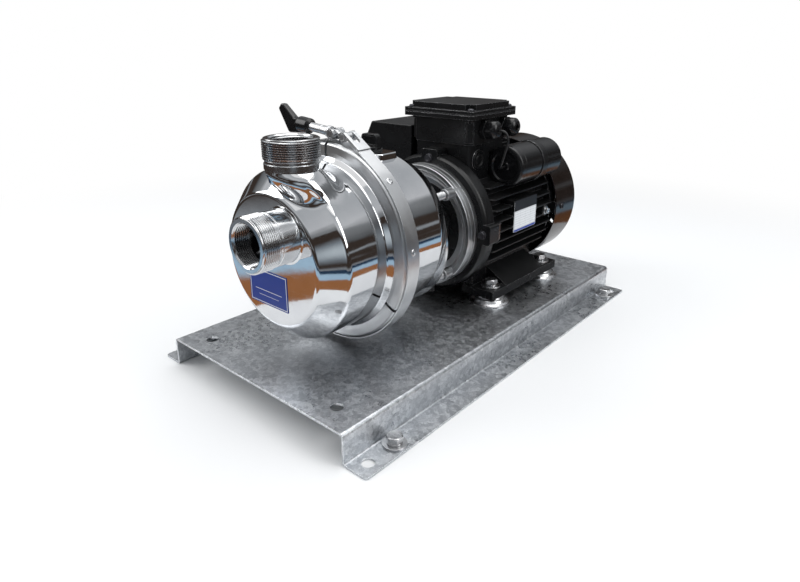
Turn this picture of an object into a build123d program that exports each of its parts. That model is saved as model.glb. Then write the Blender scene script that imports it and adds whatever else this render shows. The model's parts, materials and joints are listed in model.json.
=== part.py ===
from build123d import *
import math
import os

# Self-priming chemical pump with a band-clamped casing, close coupled to a foot-mounted motor.
# Millimetres. X runs across, Y along the shaft towards the motor, Z up.
# The origin is on the floor, at the centre of the base plate's fixing holes.

# Base plate, folded to a hat section
plate_length = 600.0
plate_width = 300.0
plate_height = 36.0
flange_width = 30.0
sheet = 2.5
bend_inside = 2.0
flange_corner = 4.0
fixing_hole_dia = 14.0
fixing_hole_end = 18.0
front_hole_spacing = 224.0
front_hole_end = 28.5
flange_bolt_front_end = 56.0
flange_bolt_rear_end = 40.0

# Fasteners of the base
bolt_dia = 10.0
bolt_hole_dia = 11.0
bolt_flats = 16.0
bolt_head = 6.4
nut_height = 8.4
spring_washer_dia = 17.0
spring_washer_height = 2.2
foot_washer_dia = 28.0
flange_washer_dia = 26.0
washer_height = 2.5
nut_washer_dia = 20.0
nut_washer_height = 2.0
bolt_overhang = 5.4

# Bell mounts under the motor feet
mount_height = 10.0
mount_dia = 58.0
mount_top_dia = 37.0
mount_wall = 2.0

# Motor
shaft_height = 100.0
foot_gauge = 160.0
foot_spacing = 140.0
front_foot_y = 57.0
foot_thickness = 12.0
foot_outer_x = 97.0
foot_inner_x = 45.0
foot_web_x = 60.0
foot_web_top = 21.0
foot_front_y = 37.0
foot_rear_y = 217.0
foot_web_front_y = 74.0
foot_web_rear_y = 180.0
frame_dia = 156.0
frame_wall = 5.0
frame_front_y = 34.0
frame_rear_y = 201.0
fin_dia = 191.0
fin_pitch = 14.4
fin_thickness = 2.8
top_fin_rise = 54.0
side_fins = 8
bottom_fins = 5
shield_face_y = 13.0
shield_dia = 192.0
shield_step_dia = 184.0
shield_wall = 8.0
lug_radius = 91.0
lug_width = 27.0
lug_reach = 103.0
lug_screw_dia = 6.0
lug_screw_head_dia = 10.0
lug_screw_head = 4.0
rear_wall = 10.0
cowl_dia = 198.0
cowl_wall = 1.5
cowl_front_y = 201.5
cowl_rear_y = 272.0
cowl_round = 13.0
cowl_screw_y = 219.0
cowl_screw_dia = 5.0
cowl_slots = 20
cowl_slot_width = 5.0
cowl_slot_in = 24.0
cowl_slot_out = 78.0

# Shaft and what turns with it
shaft_dia = 28.0
bearing_seat_dia = 30.0
rear_seat_dia = 25.0
rotor_seat_dia = 40.0
impeller_seat_dia = 22.0
fan_seat_dia = 20.0
shaft_front_y = -152.0
shaft_rear_y = 256.0
front_bearing_dia = 62.0
front_bearing_y = 18.0
front_bearing_width = 16.0
rear_bearing_dia = 52.0
rear_bearing_y = 200.0
rear_bearing_width = 15.0
stator_front_y = 70.0
stator_rear_y = 170.0
stator_depth = 27.0
air_gap = 0.5
winding_overhang = 20.0
end_ring = 8.0
fan_dia = 160.0
fan_y = 232.0
fan_width = 22.0
fan_blades = 8
running_gap = 0.3
fit_gap = 0.05

# Terminal box on its plinth
box_center_x = 4.0
box_center_y = 76.5
box_width = 100.0
box_depth = 93.0
box_floor_z = 256.0
box_top_z = 295.4
box_wall = 3.0
box_corner = 3.0
box_chamfer = 9.0
box_shoulder_z = 286.0
box_lip = 7.8
box_lip_height = 5.5
lid_gasket = 1.5
lid_lip_height = 4.0
lid_height = 12.0
lid_edge = 4.4
lid_notch = 10.0
plinth_width = 92.0
plinth_depth = 86.0
plinth_chamfer = 2.5
plug_boss_dia = 27.0
plug_boss_y = 56.6
plug_boss_z = 234.0
gland_z = 275.0
gland_first_y = 62.0
gland_spacing = 46.0
gland_flats = 25.0
gland_body = 8.0
gland_nut = 16.0
gland_bore = 12.0
gland_thread_dia = 20.0
cable_dia = 8.0
switch_left_x = -141.0
switch_front_y = 30.0
switch_rear_y = 125.0
switch_top_z = 275.0
switch_bottom_z = 198.0
switch_shoulder_x = -123.0
switch_shoulder_z = 240.0

# Terminal block in the box, with two rows of three studs
block_left_end = 26.0
block_right_end = 34.0
block_side = 24.0
block_height = 14.0
block_pitch = 16.0
block_studs_left = 22.0
block_stud_dia = 5.0
block_stud_height = 10.0
block_hole_dia = 16.0

# Capacitor beside the terminal box, its lead, the plate and the earth terminal
capacitor_dia = 57.0
capacitor_inset = 4.0
capacitor_drop = 0.5
capacitor_front_y = 86.0
capacitor_rear_y = 199.0
capacitor_cap = 12.0
clip_width = 14.0
clip_y = 150.0
capacitor_round = 3.5
lead_dia = 3.2
plate_y0 = 82.0
plate_y1 = 142.0
plate_z0 = 134.0
plate_z1 = 179.0
plate_x = 96.0
plate_thickness = 0.8
earth_y = 173.0
earth_z = 148.0

# Flange ring and the four columns between pump and motor
ring_dia = 169.0
ring_front_y = -9.0
ring_rim = 7.5
ring_bore = 124.0
ring_dish_y = 0.0
column_radius = 77.0
column_dia = 10.0
column_boss_dia = 15.0
column_boss_y = -24.0
column_nut_flats = 16.0
column_nut = 8.0
adapter_y = -62.0
adapter_thickness = 4.0
adapter_dia = 176.0

# Casing and drum; their axis lies above the shaft
casing_rise = 16.0
casing_wall = 2.5
casing_dia = 194.0
face_y = -258.0
face_dia = 146.0
face_round = 8.0
cone_y = -233.0
joint_y = -161.0
gasket_thickness = 2.0
band_flange_dia = 224.0
band_neck_dia = 204.0
flange_edge = 2.0
neck_half = 8.5
flare_half = 13.0
drum_rear_y = -83.0
drum_back_y = -62.0
drum_back_dia = 176.0
pad_half_x = 31.0
pad_front_y = -118.0
pad_rear_y = -84.0
pad_top_z = 261.5
pad_corner = 6.0
plug_y = -100.0
plug_thread_dia = 20.9
plug_length = 12.0
plug_head_dia = 25.0
plug_head = 15.5
plug_flange = 4.0
plug_wing_top = 15.0
plug_wing = 7.0
plug_wing_rim = 2.0
plug_washer_dia = 28.0
plug_washer = 2.0

# Ports, outside thread 2 inch and inside thread 1 1/2 inch
port_x = 25.0
discharge_x = 23.0
port_dia = 59.6
port_plain_dia = 57.6
port_bore_dia = 44.8
port_thread = 22.0
groove_width = 3.0
groove_depth = 1.5
suction_z = 196.0
suction_end_y = -304.6
discharge_y = -239.5
discharge_top_z = 295.0
nipple_foot_z = 264.0
neck_dia = 53.0
label_width = 66.0
label_height = 41.0
label_x = -7.0
label_z = 128.5
label_thickness = 0.5

# Band clamp
retainer_dia = 236.0
retainer_half = 12.0
retainer_lip_dia = 205.0
retainer_gap = 4.0
strap_thickness = 1.5
strap_half = 9.5
loop_leaf = 27.0
slot_length = 12.0
rivet_dia = 5.0
rivet_head = 1.0
rivet_angles = (44.5, 5.5)

# T-bolt, its pivot and the clamp lever
pivot_x = 24.0
pivot_z = 286.9
t_bolt_tilt = 5.3
t_bolt_dia = 8.0
t_bolt_length = 64.0
trunnion_reach = 19.7
trunnion_front = 26.2
trunnion_half = 5.6
trunnion_slot = 8.6
trunnion_head = 4.8
swing_gap = 0.4
thrust_washer_dia = 13.0
thrust_washer_height = 2.0
hub_flange = 3.0
hub_flange_dia = 13.0
hub_dia = 10.4
boss_start = 60.0
boss_end = 85.0
boss_dia = 18.0
arm_thickness = 11.0
arm_tip_thickness = 8.0
arm_points = ((80, -8.0), (97, -13.0), (116.5, 13.0), (112.5, 19.0), (107, 19.0), (87, 7.0), (80, 8.0))

# Impeller, volute ring and shaft seal
impeller_dia = 130.0
impeller_front_y = -140.0
impeller_disc = 5.0
impeller_width = 22.0
impeller_blades = 8
impeller_hub_dia = 40.0
volute_bore = 134.0
volute_wall = 2.0
volute_front_y = -146.0
seal_face_y = -84.0
seal_dia = 46.0
seal_seat_dia = 50.0
carrier_dia = 64.0
carrier_rear_y = -50.0

# Places that follow from the sizes above
plate_top = plate_height
mount_top = plate_top + mount_height
shaft_z = mount_top + shaft_height
stator_bore = frame_dia - 2 * frame_wall - 2 * stator_depth
capacitor_x = frame_dia / 2 - capacitor_inset
capacitor_z = shaft_z + frame_dia / 2 - capacitor_drop
casing_z = shaft_z + casing_rise
pad_z = mount_top + foot_thickness
half_plate = plate_width / 2
flange_x = half_plate + flange_width / 2
fixing_y = plate_length / 2 - fixing_hole_end
foot_bolt_y = (front_foot_y, front_foot_y + foot_spacing)
quarter_angles = (0, 90, 180, 270)
column_angles = (45, 135, 225, 315)

nodes = {}


def keep(name, *pieces):
    """Keep the solids of the pieces as one named node."""
    solids = [solid for piece in pieces for solid in piece.solids()]
    nodes[name] = solids[0] if len(solids) == 1 else Compound(solids)


def block(x0, x1, y0, y1, z0, z1):
    """A box between two corners."""
    return Pos((x0 + x1) / 2, (y0 + y1) / 2, (z0 + z1) / 2) * Box(abs(x1 - x0), abs(y1 - y0), abs(z1 - z0))


def post(dia, z0, z1, x=0.0, y=0.0):
    """An upright round bar."""
    return Pos(x, y, (z0 + z1) / 2) * Cylinder(dia / 2, abs(z1 - z0))


def bar(dia, y0, y1, x=0.0, z=0.0):
    """A round bar along Y."""
    return Pos(x, (y0 + y1) / 2, z) * Rot(90, 0, 0) * Cylinder(dia / 2, abs(y1 - y0))


def spoke(dia, x0, x1, y=0.0, z=0.0):
    """A round bar along X."""
    return Pos((x0 + x1) / 2, y, z) * Rot(0, 90, 0) * Cylinder(dia / 2, abs(x1 - x0))


def rounded_face(points, rounds):
    """A flat face on XY with some of its corners rounded; rounds holds (corner number, radius)."""
    face = make_face(Polyline(*points, close=True))
    for number, radius in rounds:
        u, v = points[number]
        corner = face.vertices().sort_by_distance((u, v, 0))[0]
        face = fillet(corner, radius)
    return face


def turned_y(points, x=0.0, z=0.0, rounds=()):
    """A solid turned about a line along Y; points are (radius, y)."""
    return Pos(x, 0, z) * revolve(rounded_face(points, rounds), Axis.Y)


def turned_z(points, x=0.0, y=0.0, rounds=()):
    """A solid turned about an upright line; points are (radius, z)."""
    return Pos(x, y, 0) * revolve(Plane.XZ * rounded_face(points, rounds), Axis.Z)


def slab_y(face, y0, y1):
    """A face drawn as (x, z), drawn out between two values of y."""
    return Pos(0, y1, 0) * extrude(Plane.XZ * face, abs(y1 - y0))


def hexagon(flats, z0, z1, x=0.0, y=0.0, turn=0.0):
    """An upright hexagonal prism."""
    outline = RegularPolygon(flats / 2, 6, major_radius=False)
    return Pos(x, y, z0) * Rot(0, 0, turn) * extrude(outline, z1 - z0)


def around(radius, degrees, height):
    """The point at a radius and an angle about a line along Y at the given height."""
    angle = math.radians(degrees)
    return radius * math.cos(angle), height + radius * math.sin(angle)


def base_plate():
    bend = bend_inside + sheet
    edge = half_plate + flange_width
    inner = half_plate - sheet
    outline = [
        (-edge, 0), (-inner, 0), (-inner, plate_top - sheet), (inner, plate_top - sheet),
        (inner, 0), (edge, 0), (edge, sheet), (half_plate, sheet),
        (half_plate, plate_top), (-half_plate, plate_top), (-half_plate, sheet), (-edge, sheet),
    ]
    rounds = [(1, bend), (4, bend), (8, bend), (9, bend), (2, bend_inside), (3, bend_inside), (7, bend_inside),
              (10, bend_inside)]
    plate = slab_y(rounded_face(outline, rounds), -plate_length / 2, plate_length / 2)
    plate &= extrude(RectangleRounded(2 * edge, plate_length, flange_corner), plate_top)
    for side in (-1, 1):
        for y in (-fixing_y, fixing_y):
            plate -= post(fixing_hole_dia, 0, plate_top, side * flange_x, y)
        for y in flange_bolt_places():
            plate -= post(bolt_hole_dia, 0, sheet, side * flange_x, y)
        for y in foot_bolt_y:
            plate -= post(bolt_hole_dia, 0, plate_top, side * foot_gauge / 2, y)
        front_y = -plate_length / 2 + front_hole_end
        plate -= post(fixing_hole_dia, 0, plate_top, side * front_hole_spacing / 2, front_y)
    keep("base_plate", plate)


def flange_bolt_places():
    return (-plate_length / 2 + flange_bolt_front_end, plate_length / 2 - flange_bolt_rear_end)


def base_fasteners():
    bolts, washers, nuts = [], [], []
    seat = pad_z + washer_height + spring_washer_height
    under = plate_top - sheet - nut_washer_height
    tip = under - nut_height - bolt_overhang
    for x in (-foot_gauge / 2, foot_gauge / 2):
        for y in foot_bolt_y:
            shank = post(bolt_dia, tip, seat, x, y)
            bolts.append(shank + hexagon(bolt_flats, seat, seat + bolt_head, x, y, 15))
            hole = post(bolt_hole_dia, 0, seat, x, y)
            washers.append(post(foot_washer_dia, pad_z, pad_z + washer_height, x, y) - hole)
            washers.append(post(spring_washer_dia, pad_z + washer_height, seat, x, y) - hole)
            washers.append(post(nut_washer_dia, under, under + nut_washer_height, x, y) - hole)
            nut = hexagon(bolt_flats, under - nut_height, under, x, y)
            nuts.append(nut - post(bolt_dia + 2 * fit_gap, 0, seat, x, y))
    keep("foot_bolts", *bolts)
    keep("foot_nuts", *nuts)

    bolts = []
    seat = sheet + washer_height + spring_washer_height
    for x in (-flange_x, flange_x):
        for y in flange_bolt_places():
            shank = post(bolt_dia, 0, seat, x, y)
            bolts.append(shank + hexagon(bolt_flats, seat, seat + bolt_head, x, y, 10))
            hole = post(bolt_hole_dia, 0, seat, x, y)
            washers.append(post(flange_washer_dia, sheet, sheet + washer_height, x, y) - hole)
            washers.append(post(spring_washer_dia, sheet + washer_height, seat, x, y) - hole)
    keep("flange_bolts", *bolts)
    keep("base_washers", *washers)


def foot_mounts():
    hole = bolt_hole_dia / 2
    rim, top = mount_dia / 2, mount_top_dia / 2
    step = top + 2.5
    low, shoulder, high = plate_top + 1.5, mount_top - 2.5, mount_top
    cone = rim - 2.0
    core_wide, core_step = cone - mount_wall, step - mount_wall
    shell = [
        (hole, high), (top, high), (top, high - 1.5), (step, shoulder), (cone, low), (rim, low),
        (rim, plate_top), (core_wide, plate_top), (core_step, shoulder - 1.5), (hole, shoulder - 1.5),
    ]
    core = [(hole, plate_top), (core_wide, plate_top), (core_step, shoulder - 1.5), (hole, shoulder - 1.5)]
    shells, cores = [], []
    for x in (-foot_gauge / 2, foot_gauge / 2):
        for y in foot_bolt_y:
            shells.append(turned_z(shell, x, y))
            cores.append(turned_z(core, x, y))
    keep("foot_mounts", *shells)
    keep("mount_rubbers", *cores)


def capacitor_room():
    """The space that the frame and its fins leave for the capacitor and its clip."""
    before, after = clip_y - clip_width, clip_y + clip_width
    room = bar(capacitor_dia + 4, capacitor_front_y - 4, before, capacitor_x, capacitor_z)
    room += bar(capacitor_dia + 4, after, capacitor_rear_y + 4, capacitor_x, capacitor_z)
    return room + bar(capacitor_dia + 2, before, after, capacitor_x, capacitor_z)


def motor_frame():
    shell = frame_dia / 2
    tip = fin_dia / 2
    envelope = turned_y([
        (0, frame_front_y), (shell, frame_front_y), (tip, frame_front_y + 10), (tip, frame_rear_y - 9),
        (tip - 6, frame_rear_y), (0, frame_rear_y),
    ], z=shaft_z)
    fins = []
    for number in range(side_fins):
        z = shaft_z + top_fin_rise - number * fin_pitch
        half = fin_thickness / 2
        fins.append(block(-tip, tip, frame_front_y, frame_rear_y, z - half, z + half))
    for number in range(bottom_fins):
        x = (number - (bottom_fins - 1) / 2) * fin_pitch
        half = fin_thickness / 2
        fins.append(block(x - half, x + half, frame_front_y, frame_rear_y, shaft_z - tip, shaft_z))
        if abs(x) < plinth_width / 2:
            fins.append(block(x - half, x + half, box_center_y, frame_rear_y, shaft_z, shaft_z + tip))
    frame = bar(frame_dia, frame_front_y, frame_rear_y, z=shaft_z)
    frame += (Part() + fins) & envelope
    frame += block(
        box_center_x - plinth_width / 2, box_center_x + plinth_width / 2,
        box_center_y - plinth_depth / 2 + 1.5, box_center_y + plinth_depth / 2, shaft_z + shell / 2, box_floor_z,
    )
    corner = frame.edges().filter_by(Axis.Z).filter_by_position(
        Axis.Y, box_center_y - plinth_depth / 2, box_center_y - plinth_depth / 2 + 2)
    frame = chamfer(corner, plinth_chamfer)
    plinth_right = box_center_x + plinth_width / 2
    frame += spoke(plug_boss_dia, plinth_right - 8, plinth_right + 2.5, plug_boss_y, plug_boss_z)
    frame -= spoke(plug_boss_dia / 2, plinth_right + 1.2, plinth_right + 3, plug_boss_y, plug_boss_z)
    frame += block(shell / 2, plate_x, plate_y0, plate_y1, plate_z0, plate_z1)
    frame += spoke(16, shell / 2, plate_x, earth_y, earth_z)
    for angle in quarter_angles:
        lug = block(shell - 8, lug_reach - 2, frame_front_y, frame_front_y + 12, -lug_width / 2, lug_width / 2)
        frame += Pos(0, 0, shaft_z) * Rot(0, -angle, 0) * lug
    bore = frame_dia - 2 * frame_wall
    frame -= bar(bore, frame_front_y, frame_rear_y, z=shaft_z)
    frame -= capacitor_room()
    frame -= post(16, shaft_z + bore / 2 - 3, box_floor_z, box_center_x, box_center_y)
    for angle in quarter_angles:
        x, z = around(lug_radius, angle, shaft_z)
        frame -= bar(lug_screw_dia + 2 * fit_gap, frame_front_y, frame_front_y + 10, x, z)
    keep("motor_frame", frame)


def motor_feet():
    feet = []
    for side in (-1, 1):
        pad = block(side * foot_inner_x, side * foot_outer_x, foot_front_y, foot_rear_y, mount_top, pad_z)
        wall = block(side * foot_inner_x, side * foot_web_x, foot_front_y + 3, frame_rear_y - 3, mount_top,
                     shaft_z - frame_dia / 4)
        slope = [
            (side * foot_web_x, pad_z - 1), (side * (foot_outer_x - 2), pad_z - 1),
            (side * (foot_outer_x - 2), pad_z), (side * foot_web_x, pad_z + foot_web_top),
        ]
        web = slab_y(make_face(Polyline(*slope, close=True)), foot_web_front_y, foot_web_rear_y)
        foot = pad + wall + web
        foot -= bar(frame_dia, foot_front_y, foot_rear_y, z=shaft_z)
        foot -= bar(cowl_dia + 2 * running_gap, cowl_front_y - 4, foot_rear_y, z=shaft_z)
        for number in range(side_fins):
            z = shaft_z + top_fin_rise - number * fin_pitch
            foot -= block(-fin_dia, fin_dia, 0, foot_rear_y, z - fin_thickness / 2, z + fin_thickness / 2)
        for y in foot_bolt_y:
            foot -= post(bolt_hole_dia, 0, pad_z, side * foot_gauge / 2, y)
        feet.append(foot)
    keep("motor_feet", *feet)


def front_shield():
    face = shield_face_y
    spigot = frame_dia / 2 - frame_wall
    rim, step = shield_dia / 2, shield_step_dia / 2
    hub = front_bearing_dia / 2 + 8
    back = frame_front_y
    hub_back = front_bearing_y + front_bearing_width
    shield = turned_y([
        (front_bearing_dia / 2 - 4, face - 3), (hub, face - 3), (hub, face), (step, face), (rim, face + 6),
        (rim, back), (spigot, back), (spigot, back + 4), (spigot - 5, back + 4), (spigot - 5, face + shield_wall),
        (hub, face + shield_wall), (hub, hub_back), (front_bearing_dia / 2, hub_back),
        (front_bearing_dia / 2, front_bearing_y), (front_bearing_dia / 2 - 4, front_bearing_y),
    ], z=shaft_z)
    for angle in quarter_angles:
        lug = block(spigot, lug_reach, face, back, -lug_width / 2, lug_width / 2)
        lug = fillet(lug.edges().filter_by(Axis.Y).sort_by(Axis.X)[-2:], 4)
        shield += Pos(0, 0, shaft_z) * Rot(0, -angle, 0) * lug
    screws = []
    for angle in quarter_angles:
        x, z = around(lug_radius, angle, shaft_z)
        shield -= bar(lug_screw_dia + 0.6, face, back, x, z)
        screw = bar(lug_screw_dia, face, back + 9, x, z)
        screws.append(screw + bar(lug_screw_head_dia, face - lug_screw_head, face, x, z))
    keep("front_shield", shield)
    return screws


def rear_shield_and_cowl(screws):
    start, stop = frame_rear_y, frame_rear_y + rear_wall
    spigot = frame_dia / 2 - frame_wall
    bearing = rear_bearing_dia / 2
    inside = cowl_dia / 2 - cowl_wall
    seat_end = rear_bearing_y + rear_bearing_width
    shield = turned_y([
        (bearing, rear_bearing_y - 5), (bearing + 6, rear_bearing_y - 5), (bearing + 6, start),
        (spigot - 5, start), (spigot - 5, start - 4), (spigot, start - 4), (spigot, start),
        (fin_dia / 2 - 7, start), (fin_dia / 2 - 7, stop), (bearing + 6, stop), (bearing + 6, seat_end + 3),
        (rear_seat_dia / 2 + 2, seat_end + 3), (rear_seat_dia / 2 + 2, seat_end), (bearing, seat_end),
    ], z=shaft_z)
    arms = []
    for angle in quarter_angles:
        arm = block(spigot + 6, inside + 4, start, cowl_screw_y + 6, -9, 9)
        arms.append(Pos(0, 0, shaft_z) * Rot(0, -angle, 0) * arm)
    shield += (Part() + arms) & bar(2 * inside, start, stop + 20, z=shaft_z)
    tapping = Pos(0, cowl_screw_y, shaft_z)
    cowl = turned_y([
        (0, cowl_rear_y), (cowl_dia / 2, cowl_rear_y), (cowl_dia / 2, cowl_front_y), (inside, cowl_front_y),
        (inside, cowl_rear_y - cowl_wall), (0, cowl_rear_y - cowl_wall),
    ], z=shaft_z, rounds=[(1, cowl_round), (4, cowl_round - cowl_wall)])
    slots = []
    for number in range(cowl_slots):
        slot = block(cowl_slot_in, cowl_slot_out, cowl_rear_y - 5, cowl_rear_y + 5, -cowl_slot_width / 2,
                     cowl_slot_width / 2)
        slots.append(Pos(0, 0, shaft_z) * Rot(0, 360 / cowl_slots * number, 0) * slot)
    cowl -= slots
    for angle in quarter_angles:
        turn = tapping * Rot(0, -angle, 0)
        shield -= turn * spoke(cowl_screw_dia + 2 * fit_gap, inside - 12, inside + 5)
        cowl -= turn * spoke(cowl_screw_dia + 0.6, inside - 2, inside + 5)
        screw = spoke(cowl_screw_dia, inside - 10, cowl_dia / 2) + spoke(9, cowl_dia / 2, cowl_dia / 2 + 2)
        screws.append(turn * screw)
    keep("rear_shield", shield)
    keep("fan_cowl", cowl)
    return screws


def stator_and_rotor():
    bore = frame_dia - 2 * frame_wall
    core = bar(bore, stator_front_y, stator_rear_y, z=shaft_z)
    core -= bar(stator_bore, stator_front_y, stator_rear_y, z=shaft_z)
    keep("stator_core", core)
    coils = []
    for y0 in (stator_front_y - winding_overhang, stator_rear_y):
        y1 = y0 + winding_overhang
        coils.append(bar(bore - 10, y0, y1, z=shaft_z) - bar(stator_bore + 6, y0, y1, z=shaft_z))
    keep("windings", *coils)
    rotor = stator_bore - 2 * air_gap
    stack = bar(rotor, stator_front_y, stator_rear_y, z=shaft_z)
    stack += bar(rotor - 6, stator_front_y - end_ring, stator_rear_y + end_ring, z=shaft_z)
    stack -= bar(rotor_seat_dia, stator_front_y - end_ring, stator_rear_y + end_ring, z=shaft_z)
    keep("rotor_core", stack)


def shaft_and_bearings():
    steps = [
        (impeller_seat_dia, impeller_rear_y()), (shaft_dia, front_bearing_y - 6),
        (bearing_seat_dia, front_bearing_y + front_bearing_width), (rotor_seat_dia, stator_rear_y + end_ring),
        (rear_seat_dia + 8, rear_bearing_y), (rear_seat_dia, rear_bearing_y + rear_bearing_width + 4),
        (fan_seat_dia, shaft_rear_y),
    ]
    outline = [(0, shaft_front_y)]
    start = shaft_front_y
    for dia, end in steps:
        outline += [(dia / 2, start), (dia / 2, end)]
        start = end
    shaft = turned_y(outline + [(0, shaft_rear_y)], z=shaft_z)
    key = block(-3, 3, impeller_front_y + 2, impeller_rear_y() - 2, shaft_z + impeller_seat_dia / 2 - 3.5,
                shaft_z + impeller_seat_dia / 2 + 2.5)
    shaft -= key
    keep("shaft", shaft)
    keep("impeller_key", key)
    inner, outer = [], []
    for y0, width, seat, dia in (
        (front_bearing_y, front_bearing_width, bearing_seat_dia, front_bearing_dia),
        (rear_bearing_y, rear_bearing_width, rear_seat_dia, rear_bearing_dia),
    ):
        race = seat + 9
        inner.append(bar(race, y0, y0 + width, z=shaft_z) - bar(seat, y0, y0 + width, z=shaft_z))
        outer.append(bar(dia, y0, y0 + width, z=shaft_z) - bar(race + 2 * fit_gap, y0, y0 + width, z=shaft_z))
    keep("bearing_inner_rings", *inner)
    keep("bearing_outer_rings", *outer)
    hub = bar(34, fan_y, fan_y + fan_width, z=shaft_z) + bar(fan_dia, fan_y, fan_y + 2.5, z=shaft_z)
    blades = []
    for number in range(fan_blades):
        blade = block(15, fan_dia / 2, fan_y + 1, fan_y + fan_width, -1.2, 1.2)
        blades.append(Pos(0, 0, shaft_z) * Rot(0, 360 / fan_blades * number, 0) * blade)
    fan = hub + blades
    keep("fan", fan - bar(fan_seat_dia, fan_y, fan_y + fan_width, z=shaft_z))


def impeller_rear_y():
    return impeller_front_y + impeller_width + 6


def terminal_box(motor_screws):
    x0, x1 = box_center_x - box_width / 2, box_center_x + box_width / 2
    y0, y1 = box_center_y - box_depth / 2, box_center_y + box_depth / 2

    def plan(grow, corner, z0, z1):
        outline = RectangleRounded(box_width + 2 * grow, box_depth + 2 * grow, corner)
        return Pos(box_center_x, box_center_y, z0) * extrude(outline, z1 - z0)

    cut = Rectangle(box_width, box_depth)
    cut = chamfer(cut.vertices(), box_chamfer)
    body = Pos(box_center_x, box_center_y, box_floor_z) * extrude(cut, box_shoulder_z - box_floor_z)
    body += plan(0, box_corner, box_shoulder_z, box_top_z)
    body += plan(box_lip, 5, box_top_z - box_lip_height, box_top_z)
    body -= plan(-box_wall, 2 * box_corner, box_floor_z + box_wall, box_top_z)
    body -= post(16, box_floor_z, box_floor_z + box_wall, box_center_x, box_center_y)
    gasket = plan(box_lip, 5, box_top_z, box_top_z + lid_gasket)
    gasket -= plan(-2, 5, box_top_z, box_top_z + lid_gasket)
    lid_z = box_top_z + lid_gasket
    lid_top = lid_z + lid_height
    lid = plan(box_lip, 5, lid_z, lid_z + lid_lip_height)
    panel_edge = box_lip - lid_edge
    panel = plan(panel_edge, 2, lid_z + lid_lip_height, lid_top)
    screws, holes = [], []
    for x in (x0, x1):
        for y in (y0, y1):
            sx = 1 if x > box_center_x else -1
            sy = 1 if y > box_center_y else -1
            reach = panel_edge + 1
            panel -= block(x + sx * reach, x - sx * (lid_notch - panel_edge), y + sy * reach,
                           y - sy * (lid_notch - panel_edge), lid_z + lid_lip_height, lid_top)
            px, py = x - sx, y - sy
            holes.append(post(5.6, lid_z - lid_gasket - 12, lid_top, px, py))
            screw = post(5, box_top_z - 10, lid_z + lid_lip_height, px, py)
            screws.append(screw + post(9, lid_z + lid_lip_height, lid_z + lid_lip_height + 3.2, px, py))
            body += post(12, box_floor_z + box_wall, box_top_z, x - sx * 7, y - sy * 7)
    lid = lid + panel
    lid -= plan(-box_wall - lid_notch, 2, lid_z, lid_top - 3)
    lid -= holes
    body -= holes
    gasket -= holes
    for y in gland_places():
        body -= spoke(gland_thread_dia + 0.4, x1 - 3 * box_wall, x1 + 2, y, gland_z)
    keep("terminal_box", body)
    keep("box_gasket", gasket)
    keep("box_lid", lid)
    board_low = box_floor_z + box_wall
    board_high = board_low + block_height
    board = block(
        x0 + block_left_end, x1 - block_right_end, y0 + block_side, y1 - block_side, board_low, board_high)
    for number in range(6):
        x = box_center_x - block_studs_left + (number % 3) * block_pitch
        y = box_center_y - block_pitch / 2 + (number // 3) * block_pitch
        board += post(block_stud_dia, board_high, board_high + block_stud_height, x, y)
    board -= post(block_hole_dia, box_floor_z, board_high, box_center_x, box_center_y)
    keep("terminal_block", board)
    keep("motor_screws", *motor_screws, *screws)

    bodies, caps = [], []
    for y, cable in zip(gland_places(), (lead_dia + 2 * fit_gap, cable_dia)):
        place = Pos(x1, y, gland_z) * Rot(0, 90, 0)
        gland = hexagon(gland_flats, 0, gland_body) + post(gland_thread_dia, -box_wall - 4, gland_body + 9)
        gland -= post(gland_bore, -box_wall - 4, gland_body + 9)
        cap = turned_z([
            (gland_thread_dia / 2 + 0.1, gland_body), (gland_flats / 2, gland_body),
            (gland_flats / 2, gland_body + gland_nut - 5), (gland_flats / 2 - 5, gland_body + gland_nut),
            (cable / 2, gland_body + gland_nut), (cable / 2, gland_body + 9.2),
            (gland_thread_dia / 2 + 0.1, gland_body + 9.2),
        ])
        bodies.append(place * gland)
        caps.append(place * (cap & hexagon(gland_flats - 1, gland_body, gland_body + gland_nut)))
    keep("gland_bodies", *bodies)
    keep("gland_nuts", *caps)


def gland_places():
    return (gland_first_y, gland_first_y + gland_spacing)


def switch_box():
    right = box_center_x - box_width / 2
    outline = [
        (switch_left_x, switch_bottom_z), (right, switch_bottom_z), (right, switch_top_z),
        (switch_shoulder_x, switch_top_z), (switch_left_x, switch_shoulder_z),
    ]
    box = slab_y(rounded_face(outline, [(0, 5), (3, 3), (4, 3)]), switch_front_y, switch_rear_y)
    hollow = max(fin_dia, shield_dia) + 2 * running_gap
    box -= bar(hollow, switch_front_y - 1, switch_rear_y + 1, z=shaft_z)
    keep("switch_box", box)


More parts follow.
